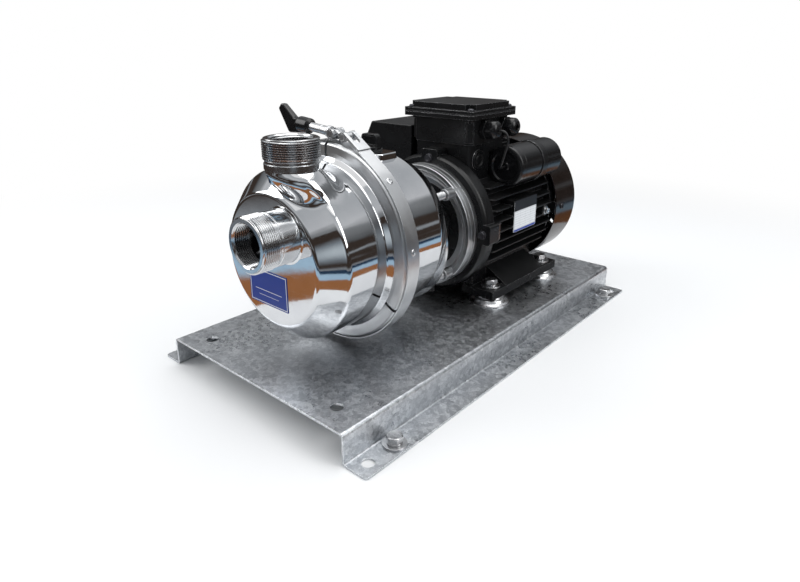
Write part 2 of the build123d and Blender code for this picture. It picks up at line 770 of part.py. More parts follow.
def capacitor_and_lead():
    x, z = capacitor_x, capacitor_z
    joint = capacitor_front_y + capacitor_cap
    can = bar(capacitor_dia - 1, joint, capacitor_rear_y, x, z)
    cap = turned_y([
        (0, capacitor_front_y), (capacitor_dia / 2, capacitor_front_y), (capacitor_dia / 2, joint), (0, joint),
    ], x, z, rounds=[(1, capacitor_round)])
    keep("capacitor", can + cap)
    band = bar(capacitor_dia + 2, clip_y - clip_width / 2, clip_y + clip_width / 2, x, z)
    band -= bar(capacitor_dia - 1, clip_y - clip_width / 2, clip_y + clip_width / 2, x, z)
    keep("capacitor_clip", band)

    start = Vector(box_center_x + box_width / 2 + gland_body + gland_nut - 6, gland_first_y, gland_z)
    route = [
        start, start + Vector(16, 0, 0), start + Vector(20, 2, -12), start + Vector(9, 4, -46),
        Vector(x, capacitor_front_y - 16, z), Vector(x, capacitor_front_y, z),
    ]
    radii = []
    for before, corner, after in zip(route, route[1:], route[2:]):
        arrive, leave = corner - before, after - corner
        turn = math.radians(arrive.get_angle(leave))
        radii.append(0.45 * min(arrive.length, leave.length) / math.tan(turn / 2))
    print("lead radii", [round(radius, 1) for radius in radii])
    path = FilletPolyline(*route, radius=radii)
    section = Plane(origin=route[0], z_dir=route[1] - route[0]) * Circle(lead_dia / 2)
    lead = sweep(section, path)
    print("lead volume ratio", round(lead.volume / (math.pi * lead_dia ** 2 / 4 * path.length), 4))
    keep("capacitor_lead", lead)


def plate_and_earth():
    plate = block(plate_x, plate_x + plate_thickness, plate_y0, plate_y1, plate_z0, plate_z1)
    keep("rating_plate", plate)
    screw = spoke(12, plate_x, plate_x + 1.2, earth_y, earth_z)
    screw += spoke(8, plate_x, plate_x + 5, earth_y, earth_z)
    keep("earth_terminal", screw)


def flange_ring_and_columns():
    rim = ring_dia / 2
    dish = rim - ring_rim
    ring = turned_y([
        (ring_bore / 2, ring_dish_y), (dish - 5, ring_dish_y), (dish, ring_front_y), (rim, ring_front_y),
        (rim, shield_face_y), (ring_bore / 2, shield_face_y),
    ], z=shaft_z)
    adapter_rear = adapter_y + adapter_thickness
    adapter = bar(adapter_dia, adapter_y, adapter_rear, z=shaft_z)
    adapter -= bar(carrier_dia + 2 * fit_gap, adapter_y, adapter_rear, z=shaft_z)
    studs, nuts = [], []
    for angle in column_angles:
        x, z = around(column_radius, angle, shaft_z)
        ring += bar(column_boss_dia, column_boss_y, shield_face_y, x, z)
    for angle in column_angles:
        x, z = around(column_radius, angle, shaft_z)
        ring -= bar(column_dia, column_boss_y, shield_face_y - 3, x, z)
        adapter -= bar(column_dia, adapter_y, adapter_rear, x, z)
        studs.append(bar(column_dia, adapter_y, shield_face_y - 3, x, z))
        nut = Pos(x, adapter_rear + 1.5, z) * Rot(-90, 0, 0) * hexagon(column_nut_flats, 0, column_nut)
        nut += bar(column_nut_flats + 3, adapter_rear, adapter_rear + 1.5, x, z)
        nuts.append(nut - bar(column_dia, adapter_rear, adapter_rear + 2 * column_nut, x, z))
    keep("flange_ring", ring)
    keep("adapter_plate", adapter)
    keep("column_studs", *studs)
    keep("column_nuts", *nuts)


def band_flange(side):
    """The tapered clamp flange on one side of the joint; side is -1 for the front casing."""
    near = joint_y + side * gasket_thickness / 2
    neck, edge = band_neck_dia / 2, band_flange_dia / 2
    return turned_y([
        (casing_dia / 2 - casing_wall, near), (edge, near), (edge, near + side * flange_edge),
        (neck, joint_y + side * neck_half), (neck, joint_y + side * flare_half),
        (casing_dia / 2, joint_y + side * (flare_half + 5)),
        (casing_dia / 2 - casing_wall, joint_y + side * (flare_half + 5)),
    ], z=casing_z)


def pump_casing():
    near = joint_y - gasket_thickness / 2
    outside = [
        (0, face_y), (face_dia / 2, face_y), (casing_dia / 2, cone_y), (casing_dia / 2, near), (0, near),
    ]
    inside = [
        (0, face_y + casing_wall), (face_dia / 2 - casing_wall / 2, face_y + casing_wall),
        (casing_dia / 2 - casing_wall, cone_y + casing_wall / 2), (casing_dia / 2 - casing_wall, near), (0, near),
    ]
    shell = turned_y(outside, z=casing_z, rounds=[(1, face_round), (2, 12)])
    cavity = turned_y(inside, z=casing_z, rounds=[(1, face_round - casing_wall), (2, 12 - casing_wall)])
    top = casing_z + casing_dia / 2 - casing_wall
    foot = casing_z + face_dia / 2 - 12
    neck = post(neck_dia, foot, nipple_foot_z, discharge_x, discharge_y)
    neck = neck - Pos(discharge_x, discharge_y, foot) * Rot(35, 0, 0) * Box(90, 90, 8)
    shell += neck.solids().sort_by(Axis.Z)[-1]
    shell += band_flange(-1)
    shell -= cavity
    shell -= post(neck_dia - 2 * casing_wall, top - 45, nipple_foot_z, discharge_x, discharge_y) & bar(
        2 * casing_dia, face_y + casing_wall, near, z=casing_z)
    shell -= bar(port_plain_dia, suction_end_y, face_y + 20, port_x, suction_z)
    keep("pump_casing", shell.solids().sort_by(SortBy.VOLUME)[-1])


def nipple_outline(end, thread_end, foot):
    """Section of a threaded nipple from its free end to its foot, as (radius, along)."""
    sign = 1 if foot > end else -1
    outer, plain, bore = port_dia / 2, port_plain_dia / 2, port_bore_dia / 2
    return [
        (bore, end), (outer, end), (outer, thread_end), (outer - groove_depth, thread_end),
        (outer - groove_depth, thread_end + sign * groove_width), (plain, thread_end + sign * groove_width),
        (plain, foot), (bore, foot),
    ]


def nipples():
    suction = turned_y(nipple_outline(suction_end_y, suction_end_y + port_thread, face_y + 8), port_x, suction_z)
    discharge = turned_z(
        nipple_outline(discharge_top_z, discharge_top_z - port_thread, nipple_foot_z), discharge_x, discharge_y)
    keep("suction_nipple", suction)
    keep("discharge_nipple", discharge)
    label = block(label_x - label_width / 2, label_x + label_width / 2, face_y - label_thickness, face_y,
                  label_z - label_height / 2, label_z + label_height / 2)
    keep("label_plate", label)


def rear_casing():
    near = joint_y + gasket_thickness / 2
    radius, back = casing_dia / 2, drum_back_dia / 2
    wall = casing_wall
    drum = turned_y([
        (0, near), (radius, near), (radius, drum_rear_y), (back, drum_back_y), (0, drum_back_y),
    ], z=casing_z, rounds=[(2, 8)])
    pad = block(-pad_half_x, pad_half_x, pad_front_y, pad_rear_y, casing_z + radius / 2, pad_top_z)
    drum += fillet(pad.edges().filter_by(Axis.Z), pad_corner)
    drum += band_flange(1)
    drum -= turned_y([
        (0, near - 1), (radius - wall, near - 1), (radius - wall, drum_rear_y), (back - wall, drum_back_y - 4),
        (0, drum_back_y - 4),
    ], z=casing_z, rounds=[(2, 6)])
    drum -= bar(carrier_dia + 2 * fit_gap, drum_back_y - 6, drum_back_y, z=shaft_z)
    drum -= post(plug_thread_dia + 2 * fit_gap, casing_z, pad_top_z, 0, plug_y)
    keep("rear_casing", drum)
    gasket = bar(band_flange_dia - 2, near - gasket_thickness, near, z=casing_z)
    gasket -= bar(casing_dia - 2 * wall, near - gasket_thickness, near, z=casing_z)
    keep("casing_gasket", gasket)
    head_z = pad_top_z + plug_washer
    plug = post(plug_thread_dia, pad_top_z - plug_length, head_z, 0, plug_y)
    plug += post(plug_head_dia, head_z, head_z + plug_flange, 0, plug_y)
    wing_z, wing_top = head_z + plug_flange - 1, head_z + plug_head
    foot, tip = plug_head_dia / 2 - 0.5, plug_wing_top / 2
    wing = [(-foot, wing_z), (foot, wing_z), (tip, wing_top), (-tip, wing_top)]
    rim = plug_wing_rim
    pocket = [(-foot + 2 * rim, wing_z + rim), (foot - 2 * rim, wing_z + rim), (tip - rim, wing_top - rim),
              (-tip + rim, wing_top - rim)]
    front, rear = plug_y - plug_wing / 2, plug_y + plug_wing / 2
    plug += slab_y(rounded_face(wing, [(2, 3), (3, 3)]), front, rear)
    for y in (front, rear):
        plug -= slab_y(rounded_face(pocket, [(2, 2), (3, 2)]), y - 1.5, y + 1.5)
    keep("filler_plug", plug)
    washer = post(plug_washer_dia, pad_top_z, head_z, 0, plug_y)
    keep("plug_washer", washer - post(plug_thread_dia + 2 * fit_gap, pad_top_z, head_z, 0, plug_y))


def impeller_and_seal():
    front, rear = impeller_front_y, impeller_front_y + impeller_width
    disc = bar(impeller_dia, rear - impeller_disc, rear, z=shaft_z)
    hub = bar(impeller_hub_dia, front, impeller_rear_y(), z=shaft_z)
    blades = []
    for number in range(impeller_blades):
        sweep_ring = bar(2 * 48, front, rear, 40, 0) - bar(2 * 44, front, rear, 40, 0)
        blade = sweep_ring & block(-60, impeller_dia, front, rear, 0, impeller_dia)
        blade &= bar(impeller_dia, front, rear)
        blade -= bar(impeller_hub_dia - 4, front, rear)
        blades.append(Pos(0, 0, shaft_z) * Rot(0, 360 / impeller_blades * number, 0) * blade)
    impeller = disc + hub + blades
    impeller -= bar(impeller_seat_dia, front, impeller_rear_y(), z=shaft_z)
    impeller -= block(-3, 3, front, impeller_rear_y(), shaft_z, shaft_z + impeller_seat_dia / 2 + 2.5)
    keep("impeller", impeller)
    nut = Pos(0, front, shaft_z) * Rot(90, 0, 0) * hexagon(30, 0, 10)
    nut -= bar(impeller_seat_dia, front - 11, front, z=shaft_z)
    keep("impeller_nut", nut)
    volute = bar(volute_bore + 2 * volute_wall, volute_front_y, drum_back_y - 4, z=shaft_z)
    volute -= bar(volute_bore, volute_front_y, drum_back_y - 4, z=shaft_z)
    for angle in (60, 180, 300):
        x, z = around(volute_bore / 2 + 1, angle, shaft_z)
        volute -= Pos(x, 0, z) * Rot(0, -angle, 0) * block(-8, 8, impeller_front_y, rear + 10, -12, 12)
    keep("volute_ring", volute)
    rotating = bar(seal_dia, impeller_rear_y(), seal_face_y, z=shaft_z)
    rotating -= bar(shaft_dia, impeller_rear_y(), seal_face_y, z=shaft_z)
    keep("seal_rotating", rotating)
    seat_front = seal_face_y + running_gap
    stationary = bar(seal_seat_dia, seat_front, adapter_y - 8, z=shaft_z)
    stationary -= bar(shaft_dia + 4, seat_front, adapter_y - 8, z=shaft_z)
    keep("seal_stationary", stationary)
    carrier = bar(carrier_dia, adapter_y - 14, carrier_rear_y, z=shaft_z)
    carrier -= bar(seal_seat_dia, adapter_y - 14, adapter_y - 8, z=shaft_z)
    carrier -= bar(shaft_dia + 4, adapter_y - 8, carrier_rear_y, z=shaft_z)
    keep("seal_carrier", carrier)


def clamp_band():
    lip, outer = retainer_lip_dia / 2, retainer_dia / 2
    edge = band_flange_dia / 2 + 0.5
    half, slope = retainer_half, 3.5
    seat = neck_half + 0.15
    tip = gasket_thickness / 2 + flange_edge + 0.15
    section = [
        (lip, joint_y - half), (outer - slope, joint_y - half), (outer, joint_y - half + slope),
        (outer, joint_y + half - slope), (outer - slope, joint_y + half), (lip, joint_y + half),
        (lip, joint_y + seat), (edge, joint_y + tip), (edge, joint_y - tip), (lip, joint_y - seat),
    ]
    ring = turned_y(section, z=casing_z)
    for angle in (-30, 90, 210):
        cut = block(0, retainer_dia, joint_y - 20, joint_y + 20, -retainer_gap / 2, retainer_gap / 2)
        ring -= Pos(0, 0, casing_z) * Rot(0, -angle, 0) * cut

    strap_in, strap_out = outer, outer + strap_thickness
    front, rear = joint_y - strap_half, joint_y + strap_half
    strap = bar(2 * strap_out, front, rear, z=casing_z) - bar(2 * strap_in, front, rear, z=casing_z)
    pin = t_bolt_dia / 2
    loop_out = pin + fit_gap + strap_thickness
    left_x, left_z = bolt_point(trunnion_reach)
    right_angle, right_run = strap_leaves(pivot_x, pivot_z, strap_out + strap_thickness - loop_out, -1)
    left_angle, left_run = strap_leaves(left_x, left_z, strap_out + loop_out, 1)
    strap -= wedge(right_angle, left_angle, 2 * strap_out, front - 1, rear + 1)
    strap += strap_leaf(right_angle, strap_in, -0.5, right_run - loop_out - 1.5)
    strap += strap_leaf(left_angle, strap_in, -left_run - 4, 0.5)

    loop = strap_leaf(right_angle, strap_out, right_run - loop_leaf, right_run)
    loop += pin_loop(pivot_x, pivot_z, loop_out)
    slot = block(
        pivot_x - slot_length, pivot_x + slot_length, joint_y - pin - 0.6, joint_y + pin + 0.6,
        casing_z, pivot_z + slot_length)
    slot += post(2 * pin + 1.2, casing_z, pivot_z + slot_length, pivot_x + slot_length, joint_y)
    knuckles = pin_loop(left_x, left_z, loop_out)
    reach = trunnion_half + 0.3
    gap = block(
        left_x - 14, left_x + slot_length, joint_y - reach, joint_y + reach, casing_z, left_z + slot_length)
    rivets = []
    for segment in range(3):
        for start in rivet_angles:
            place = Pos(0, joint_y, casing_z) * Rot(0, 120 * segment - start, 0)
            strap -= place * spoke(rivet_dia, strap_in - 1, strap_out + 5)
            ring -= place * spoke(rivet_dia, strap_in - 3, strap_in + 1)
            shank = spoke(rivet_dia, strap_in - 3, strap_out)
            rivets.append(place * (shank + spoke(rivet_dia + 3, strap_out, strap_out + rivet_head)))
    keep("clamp_retainers", ring)
    keep("clamp_strap", strap - slot - gap)
    keep("strap_loops", loop - slot, knuckles - gap)
    keep("clamp_rivets", *rivets)


def wedge(start, stop, reach, y0, y1):
    """A wedge about the casing's axis between two angles, to cut or keep part of a band."""
    middle = (start + stop) / 2
    corners = [(0, 0)]
    for degrees in (start, middle, stop):
        corners.append(around(reach, degrees, 0))
    return Pos(0, 0, casing_z) * slab_y(make_face(Polyline(*corners, close=True)), y0, y1)


def strap_leaves(x, z, offset, side):
    """Where the strap leaves the clamp's circle to run straight to a pin at (x, z): its angle and run."""
    rise = z - casing_z
    reach = math.hypot(x, rise)
    angle = math.degrees(math.atan2(rise, x) + side * math.acos(offset / reach))
    return angle, math.sqrt(reach ** 2 - offset ** 2)


def strap_leaf(angle, low, start, stop):
    """A straight leaf of the strap, square to the radius at the angle, between two distances along it."""
    turn = math.radians(angle)
    out = Vector(math.cos(turn), math.sin(turn), 0)
    along = Vector(-math.sin(turn), math.cos(turn), 0)
    corners = []
    for rise, run in ((low, start), (low, stop), (low + strap_thickness, stop), (low + strap_thickness, start)):
        corner = out * rise + along * run
        corners.append((corner.X, casing_z + corner.Y))
    return slab_y(make_face(Polyline(*corners, close=True)), joint_y - strap_half, joint_y + strap_half)


def pin_loop(x, z, loop_out):
    """The round loop of the strap about a pin."""
    front, rear = joint_y - strap_half, joint_y + strap_half
    return bar(2 * loop_out, front, rear, x, z) - bar(2 * (loop_out - strap_thickness), front, rear, x, z)


def bolt_point(along):
    """A point on the T-bolt's axis, as (x, z)."""
    tilt = math.radians(t_bolt_tilt)
    return pivot_x - along * math.cos(tilt), pivot_z + along * math.sin(tilt)


def t_bolt_and_lever():
    tilt = math.radians(t_bolt_tilt)
    frame = Plane(origin=(pivot_x, joint_y, pivot_z), x_dir=(0, -1, 0), z_dir=(-math.cos(tilt), 0, math.sin(tilt)))
    pin = t_bolt_dia / 2
    bolt = post(t_bolt_dia, 0, t_bolt_length) + Rot(0, 90, 0) * Cylinder(pin, 2 * strap_half)
    keep("t_bolt", frame * bolt)

    nose = trunnion_front
    saddle = block(-trunnion_half, trunnion_half, -pin - 2, trunnion_head, trunnion_reach - 5, nose)
    saddle += Pos(0, 0, trunnion_reach) * Rot(0, 90, 0) * Cylinder(pin, 2 * strap_half)
    saddle -= block(-trunnion_slot / 2, trunnion_slot / 2, -pin - 0.3, 20, 0, nose + 1)
    keep("clamp_trunnion", frame * saddle)

    seat = nose + swing_gap
    hole = t_bolt_dia + 2 * fit_gap
    washer = post(thrust_washer_dia, seat, seat + thrust_washer_height)
    washer -= post(hole, seat, seat + thrust_washer_height)
    keep("thrust_washer", frame * washer)
    hub_start = seat + thrust_washer_height + 0.1
    hub = post(hub_flange_dia, hub_start, hub_start + hub_flange) + post(hub_dia, hub_start, boss_end - 3)
    keep("lever_hub", frame * (hub - post(hole, hub_start, t_bolt_length + 1)))
    boss = turned_z([
        (0, boss_start), (boss_dia / 2 - 2, boss_start), (boss_dia / 2, boss_start + 2), (boss_dia / 2, boss_end - 3),
        (boss_dia / 2 - 3, boss_end), (0, boss_end),
    ])
    arm = make_face(Polyline(*[(rise, along) for along, rise in arm_points], close=True))
    arm = extrude(Plane.YZ * arm, arm_thickness / 2, both=True)
    taper = (arm_thickness - arm_tip_thickness) / 2
    for side in (-1, 1):
        shave = Pos(side * (arm_thickness - taper), 12, 100) * Rot(0, 0, side * 3.5) * Box(arm_thickness, 50, 60)
        arm -= shave
    lever = boss + arm - post(hub_dia, hub_start, boss_end - 3)
    keep("clamp_lever", frame * lever)


base_plate()
base_fasteners()
foot_mounts()
motor_frame()
motor_feet()
stator_and_rotor()
shaft_and_bearings()
terminal_box(rear_shield_and_cowl(front_shield()))
switch_box()
capacitor_and_lead()
plate_and_earth()
flange_ring_and_columns()
pump_casing()
nipples()
rear_casing()
impeller_and_seal()
clamp_band()
t_bolt_and_lever()

os.makedirs("parts", exist_ok=True)
for name, shape in nodes.items():
    export_step(shape, f"parts/{name}.step")
print(len(nodes), "nodes")
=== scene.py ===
# %% [markdown]
# This lesson dresses a chemical pump: a polished stainless casing, closed by a band clamp, and a
# black finned motor on a galvanised base plate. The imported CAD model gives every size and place.
# Blender adds what a CAD model leaves out: threads, rounded edges, screw slots and finishes.
# Everything is in metres, so a small helper turns the millimetres of a drawing into metres.

import json
import math
import bmesh
import bpy
from mathutils import Matrix, Vector


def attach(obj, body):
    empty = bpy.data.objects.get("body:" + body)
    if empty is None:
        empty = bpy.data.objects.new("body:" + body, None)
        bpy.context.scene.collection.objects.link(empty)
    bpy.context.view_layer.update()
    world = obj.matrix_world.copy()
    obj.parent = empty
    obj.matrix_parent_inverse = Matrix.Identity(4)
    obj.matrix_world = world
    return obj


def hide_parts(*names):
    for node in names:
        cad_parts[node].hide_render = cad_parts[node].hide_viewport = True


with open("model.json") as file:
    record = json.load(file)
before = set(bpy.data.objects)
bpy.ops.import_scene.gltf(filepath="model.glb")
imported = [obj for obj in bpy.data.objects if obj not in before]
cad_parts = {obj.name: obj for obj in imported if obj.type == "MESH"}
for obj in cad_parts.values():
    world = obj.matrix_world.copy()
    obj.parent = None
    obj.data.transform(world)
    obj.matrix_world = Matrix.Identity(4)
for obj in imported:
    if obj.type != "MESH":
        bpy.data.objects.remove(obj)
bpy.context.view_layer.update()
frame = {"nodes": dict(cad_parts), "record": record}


def mm(value):
    """Millimetres to metres."""
    return value * 0.001


def mm_point(x, y, z):
    """A point in millimetres as a vector in metres."""
    return Vector((x, y, z)) * 0.001


def new_object(name, data):
    """A new object in the scene for a mesh, a lamp or a camera."""
    piece = bpy.data.objects.new(name, data)
    bpy.context.scene.collection.objects.link(piece)
    return piece


print("nodes", len(frame["nodes"]))

# %% [markdown]
# The picture was taken from the front corner, a little above the casing. The camera is set by its
# place, its heading and its dip. A small vertical shift stands for the crop of the photograph.

# %% Camera
camera_heading = 41.188
camera_dip = 18.679
film_width = 36
picture_width, picture_height = 800, 582
picture_centre = (399.18, 247.61)
focal_pixels = 603.66
camera_data = bpy.data.cameras.new("camera")
camera_data.sensor_width = film_width
camera_data.lens = film_width * focal_pixels / picture_width
camera_data.shift_x = (picture_width / 2 - picture_centre[0]) / picture_width
camera_data.shift_y = (picture_centre[1] - picture_height / 2) / picture_width
camera_data.clip_start = 0.01
camera = new_object("camera", camera_data)
camera.location = (0.50498, -0.62548, 0.3834)
camera.rotation_euler = (math.radians(90 - camera_dip), 0, math.radians(camera_heading))
bpy.context.scene.camera = camera
bpy.context.scene.view_settings.view_transform = "Standard"
print("lens", round(camera_data.lens, 2), "mm")

# %% [markdown]
# Materials, shader groups and geometry trees are all built from nodes. One helper adds a node and
# feeds its inputs, each with a value or with the output of another node. The others make the sums,
# ramps and mixes that every finish needs.

# %% Helpers for nodes
def feed(tree, socket, value):
    """Link an output to an input, or set the input's value; a colour is made opaque."""
    if isinstance(value, bpy.types.NodeSocket):
        tree.links.new(value, socket)
    elif socket.type == "RGBA":
        socket.default_value = (*value, 1)
    else:
        socket.default_value = value


def feed_named(tree, node, **values):
    """Set a node's own properties or feed its inputs, each by name."""
    for key, value in values.items():
        if hasattr(node, key):
            setattr(node, key, value)
        else:
            feed(tree, node.inputs[key.replace("_", " ")], value)


def add_node(tree, kind, *inputs, **values):
    """A node of the given kind, fed by name and then in the order of its inputs."""
    node = tree.nodes.new(kind)
    feed_named(tree, node, **values)
    for socket, value in zip(node.inputs, inputs):
        feed(tree, socket, value)
    return node


def math_node(tree, operation, first, second, clamp=False):
    """A Math node fed with two outputs or plain numbers; gives its own output."""
    return add_node(tree, "ShaderNodeMath", first, second, operation=operation, use_clamp=clamp).outputs[0]


def times(tree, first, second, clamp=False):
    """The product of two values."""
    return math_node(tree, "MULTIPLY", first, second, clamp)


def plus(tree, first, second, clamp=False):
    """The sum of two values."""
    return math_node(tree, "ADD", first, second, clamp)


def minus(tree, first, second):
    """The difference of two values."""
    return math_node(tree, "SUBTRACT", first, second)


def range_node(tree, value, low, high):
    """Moves a value of 0 to 1 into a new range."""
    return plus(tree, times(tree, value, high - low), low)


def ramp_node(tree, value, stops):
    """A colour ramp over a value; stops are (position, grey or colour)."""
    node = add_node(tree, "ShaderNodeValToRGB", value)
    elements = node.color_ramp.elements
    while len(elements) < len(stops):
        elements.new(0.5)
    for element, (position, tone) in zip(elements, stops):
        element.position = position
        element.color = (*tone, 1) if isinstance(tone, tuple) else (tone, tone, tone, 1)
    return node.outputs["Color"]


def blend_colors(tree, factor, first, second):
    """A Mix node for two colours."""
    node = add_node(tree, "ShaderNodeMix", data_type="RGBA", Factor=factor)
    feed(tree, node.inputs[6], first)
    feed(tree, node.inputs[7], second)
    return node.outputs[2]


def blend_shaders(tree, factor, first, second, end):
    """A mix of two shaders that goes to the tree's end node."""
    mix = add_node(tree, "ShaderNodeMixShader", factor, first.outputs[0], second.outputs[0])
    feed(tree, tree.nodes[end].inputs["Surface"], mix.outputs[0])


def object_place(tree, stretch=(1, 1, 1), turn=(0, 0, 0)):
    """Object coordinates, stretched along the axes and turned."""
    place = add_node(tree, "ShaderNodeTexCoord")
    return add_node(tree, "ShaderNodeMapping", Vector=place.outputs["Object"], Rotation=turn,
                    Scale=stretch).outputs["Vector"]


def distance_node(tree, stretch=(1, 1, 1)):
    """The distance from the object's origin, with the axes stretched."""
    length = add_node(tree, "ShaderNodeVectorMath", object_place(tree, stretch), operation="LENGTH")
    return length.outputs["Value"]


def noise_node(tree, place, scale, detail, output="Fac", **values):
    """A noise texture read at a place."""
    noise = add_node(tree, "ShaderNodeTexNoise", Vector=place, Scale=scale, Detail=detail, **values)
    return noise.outputs[output]


def new_material(name):
    """A new material with its node tree."""
    material = bpy.data.materials.new(name)
    material.use_nodes = True
    return material, material.node_tree


print("node helpers ready")

# %% [markdown]
# Mirror-bright steel shows the room, so the room is part of its look. The floor and the background
# are pale and plain, and three large soft lamps light the pump. Three cards are seen by reflections
# only: dark walls round the pump, a brown floor with a blue band, and a pale window beside the
# camera. They draw the shape of bright steel, as flags do in a photographer's studio.

# %% Studio
def floor_material():
    """Pale paint near the pump that fades to the plain white of the background."""
    material, tree = new_material("pale_floor")
    paint = tree.nodes["Principled BSDF"]
    feed_named(tree, paint, Base_Color=(0.86, 0.86, 0.86), Roughness=0.95, Specular_IOR_Level=0.0)
    white = add_node(tree, "ShaderNodeEmission", Color=(1, 1, 1))
    fade = add_node(tree, "ShaderNodeMapRange", interpolation_type="SMOOTHSTEP", Value=distance_node(tree),
                    From_Min=0.55, From_Max=1.3)
    blend_shaders(tree, fade.outputs["Result"], paint, white, "Material Output")
    return material


def band_material(name, stretch, bands, clear_below=0.0):
    """Glowing bands of colour over the stretched distance from the middle, with uneven borders."""
    material, tree = new_material(name)
    tree.nodes.remove(tree.nodes["Principled BSDF"])
    uneven = times(tree, noise_node(tree, object_place(tree), 2.2, 5.0), 0.22)
    distance = plus(tree, uneven, distance_node(tree, stretch))
    glow = add_node(tree, "ShaderNodeEmission", Color=ramp_node(tree, distance, bands))
    clear = add_node(tree, "ShaderNodeBsdfTransparent")
    shown = math_node(tree, "GREATER_THAN", distance, clear_below)
    blend_shaders(tree, shown, clear, glow, "Material Output")
    return material


def studio_piece(name, corners, faces, material, place=(0, 0, 0), turn=(0, 0, 0)):
    """A piece of the studio, which isn't part of the pump."""
    mesh = bpy.data.meshes.new(name)
    mesh.from_pydata(corners, [], faces)
    mesh.materials.append(material)
    piece = new_object(name, mesh)
    piece.location = place
    piece.rotation_euler = turn
    return piece


def plane(name, width, height, material, place=(0, 0, 0), turn=(0, 0, 0)):
    """A flat rectangle of the studio."""
    w, h = width / 2, height / 2
    corners = [(-w, -h, 0), (w, -h, 0), (w, h, 0), (-w, h, 0)]
    return studio_piece(name, corners, [(0, 1, 2, 3)], material, place, turn)


def round_wall(name, radius, height, material, steps=48):
    """A round wall about the pump."""
    corners, faces = [], []
    for number in range(steps):
        angle = 2 * math.pi * number / steps
        for up in (0.0, height):
            corners.append((radius * math.cos(angle), radius * math.sin(angle), up))
        following = 2 * ((number + 1) % steps)
        faces.append((2 * number, following, following + 1, 2 * number + 1))
    return studio_piece(name, corners, faces, material)


def facing(place, target=(0, 0, 0.15)):
    """The turn that points a lamp's or card's -Z axis at a target."""
    return (Vector(target) - Vector(place)).to_track_quat("-Z", "Y").to_euler()


tan = (0.36, 0.15, 0.06)
dark_blue = (0.012, 0.035, 0.075)
sky_blue = (0.42, 0.60, 0.76)
umber = (0.045, 0.033, 0.027)
grey = (0.30, 0.32, 0.34)
floor_bands = band_material("floor_bands", (0.90, 0.62, 0), [
    (0.0, tan), (0.52, tan), (0.54, sky_blue), (0.66, sky_blue), (0.69, dark_blue), (0.78, dark_blue),
    (0.82, grey), (1.0, umber)], 0.42)
wall_bands = band_material("wall_bands", (0, 0, 0.4), [
    (0.0, grey), (0.12, umber), (0.20, umber), (0.22, grey), (0.24, grey), (0.26, umber), (0.36, umber),
    (0.40, (0.11, 0.115, 0.12)), (0.58, (0.26, 0.27, 0.28)), (0.66, (0.62, 0.63, 0.65)),
    (1.0, (0.50, 0.52, 0.54))])
window_bands = band_material("window_glow", (1.5, 2.6, 1), [
    (0.0, (0.66, 0.70, 0.74)), (0.36, (0.50, 0.56, 0.60)), (0.60, (0.22, 0.25, 0.28)), (0.85, umber)])
window_place = (0.92, -0.86, 0.30)
plane("floor", 12, 12, floor_material())
cards = [
    plane("floor_card", 4, 4, floor_bands, (0, 0, 0.0015)),
    round_wall("wall_card", 2.0, 2.6, wall_bands),
    plane("window_card", 1.5, 0.8, window_bands, window_place, facing(window_place, (0, -0.1, 0.2))),
]
for card in cards:
    card.visible_camera = False
    card.visible_diffuse = False
    card.visible_shadow = False
    card.visible_transmission = False

lamps = [
    ("lamp_top", (0.1, 0.1, 1.7), (1.6, 1.6), 17),
    ("lamp_left", (-1.3, -1.0, 1.2), (0.9, 1.3), 13),
    ("lamp_right", (1.6, 0.3, 1.1), (0.8, 1.2), 10),
]
for lamp_name, lamp_place, lamp_size, lamp_watts in lamps:
    lamp_data = bpy.data.lights.new(lamp_name, "AREA")
    lamp_data.shape = "RECTANGLE"
    lamp_data.size, lamp_data.size_y = lamp_size
    lamp_data.energy = lamp_watts
    lamp = new_object(lamp_name, lamp_data)
    lamp.location = lamp_place
    lamp.rotation_euler = facing(lamp_place)

world = bpy.data.worlds.new("studio")
world.use_nodes = True
bpy.context.scene.world = world
air = world.node_tree
soft_air = air.nodes["Background"]
feed_named(air, soft_air, Color=(0.92, 0.96, 1.0), Strength=0.55)
white_air = add_node(air, "ShaderNodeBackground", Color=(1, 1, 1), Strength=1.0)
ray = add_node(air, "ShaderNodeLightPath").outputs
seen = math_node(air, "MAXIMUM", ray["Is Camera Ray"], ray["Is Glossy Ray"])
seen = math_node(air, "MAXIMUM", seen, ray["Is Transmission Ray"])
blend_shaders(air, seen, soft_air, white_air, "World Output")
print("cards", len(cards), "lamps", len(lamps))

# %% [markdown]
# Several finishes share an effect, such as a fine grain or brushed lines. Each effect is a shader
# node group, built once, with named inputs. A group puts out only masks and values; the Principled
# shader stays in the material, where its plain values are set directly.
# Hot-dip zinc freezes in flat crystals, so the plate shows a spangle: patches of slightly
# different grey, each with its own gloss. A Voronoi texture gives the patches, and a slow noise
# bends their borders so that they don't look like cells on a map.

# %% Shader groups
def new_socket(tree, key, way, kind, value=None):
    """A named input or output of a group or tree, with its first value."""
    name = key.replace("_", " ")
    socket = tree.interface.new_socket(name, in_out=way, socket_type="NodeSocket" + kind)
    if value is not None:
        socket.default_value = value


def new_group(name, **inputs):
    """An empty shader node group with float inputs; gives the group and the sockets inside it."""
    group = bpy.data.node_groups.new(name, "ShaderNodeTree")
    for key, value in inputs.items():
        new_socket(group, key, "INPUT", "Float", value)
    return group, add_node(group, "NodeGroupInput").outputs


def close_group(group, **results):
    """Put the results out under their names."""
    for key in results:
        new_socket(group, key, "OUTPUT", "Float")
    add_node(group, "NodeGroupOutput", **results)
    return group


def one_over(tree, value):
    """A size turned into a frequency."""
    return math_node(tree, "DIVIDE", 1.0, value)


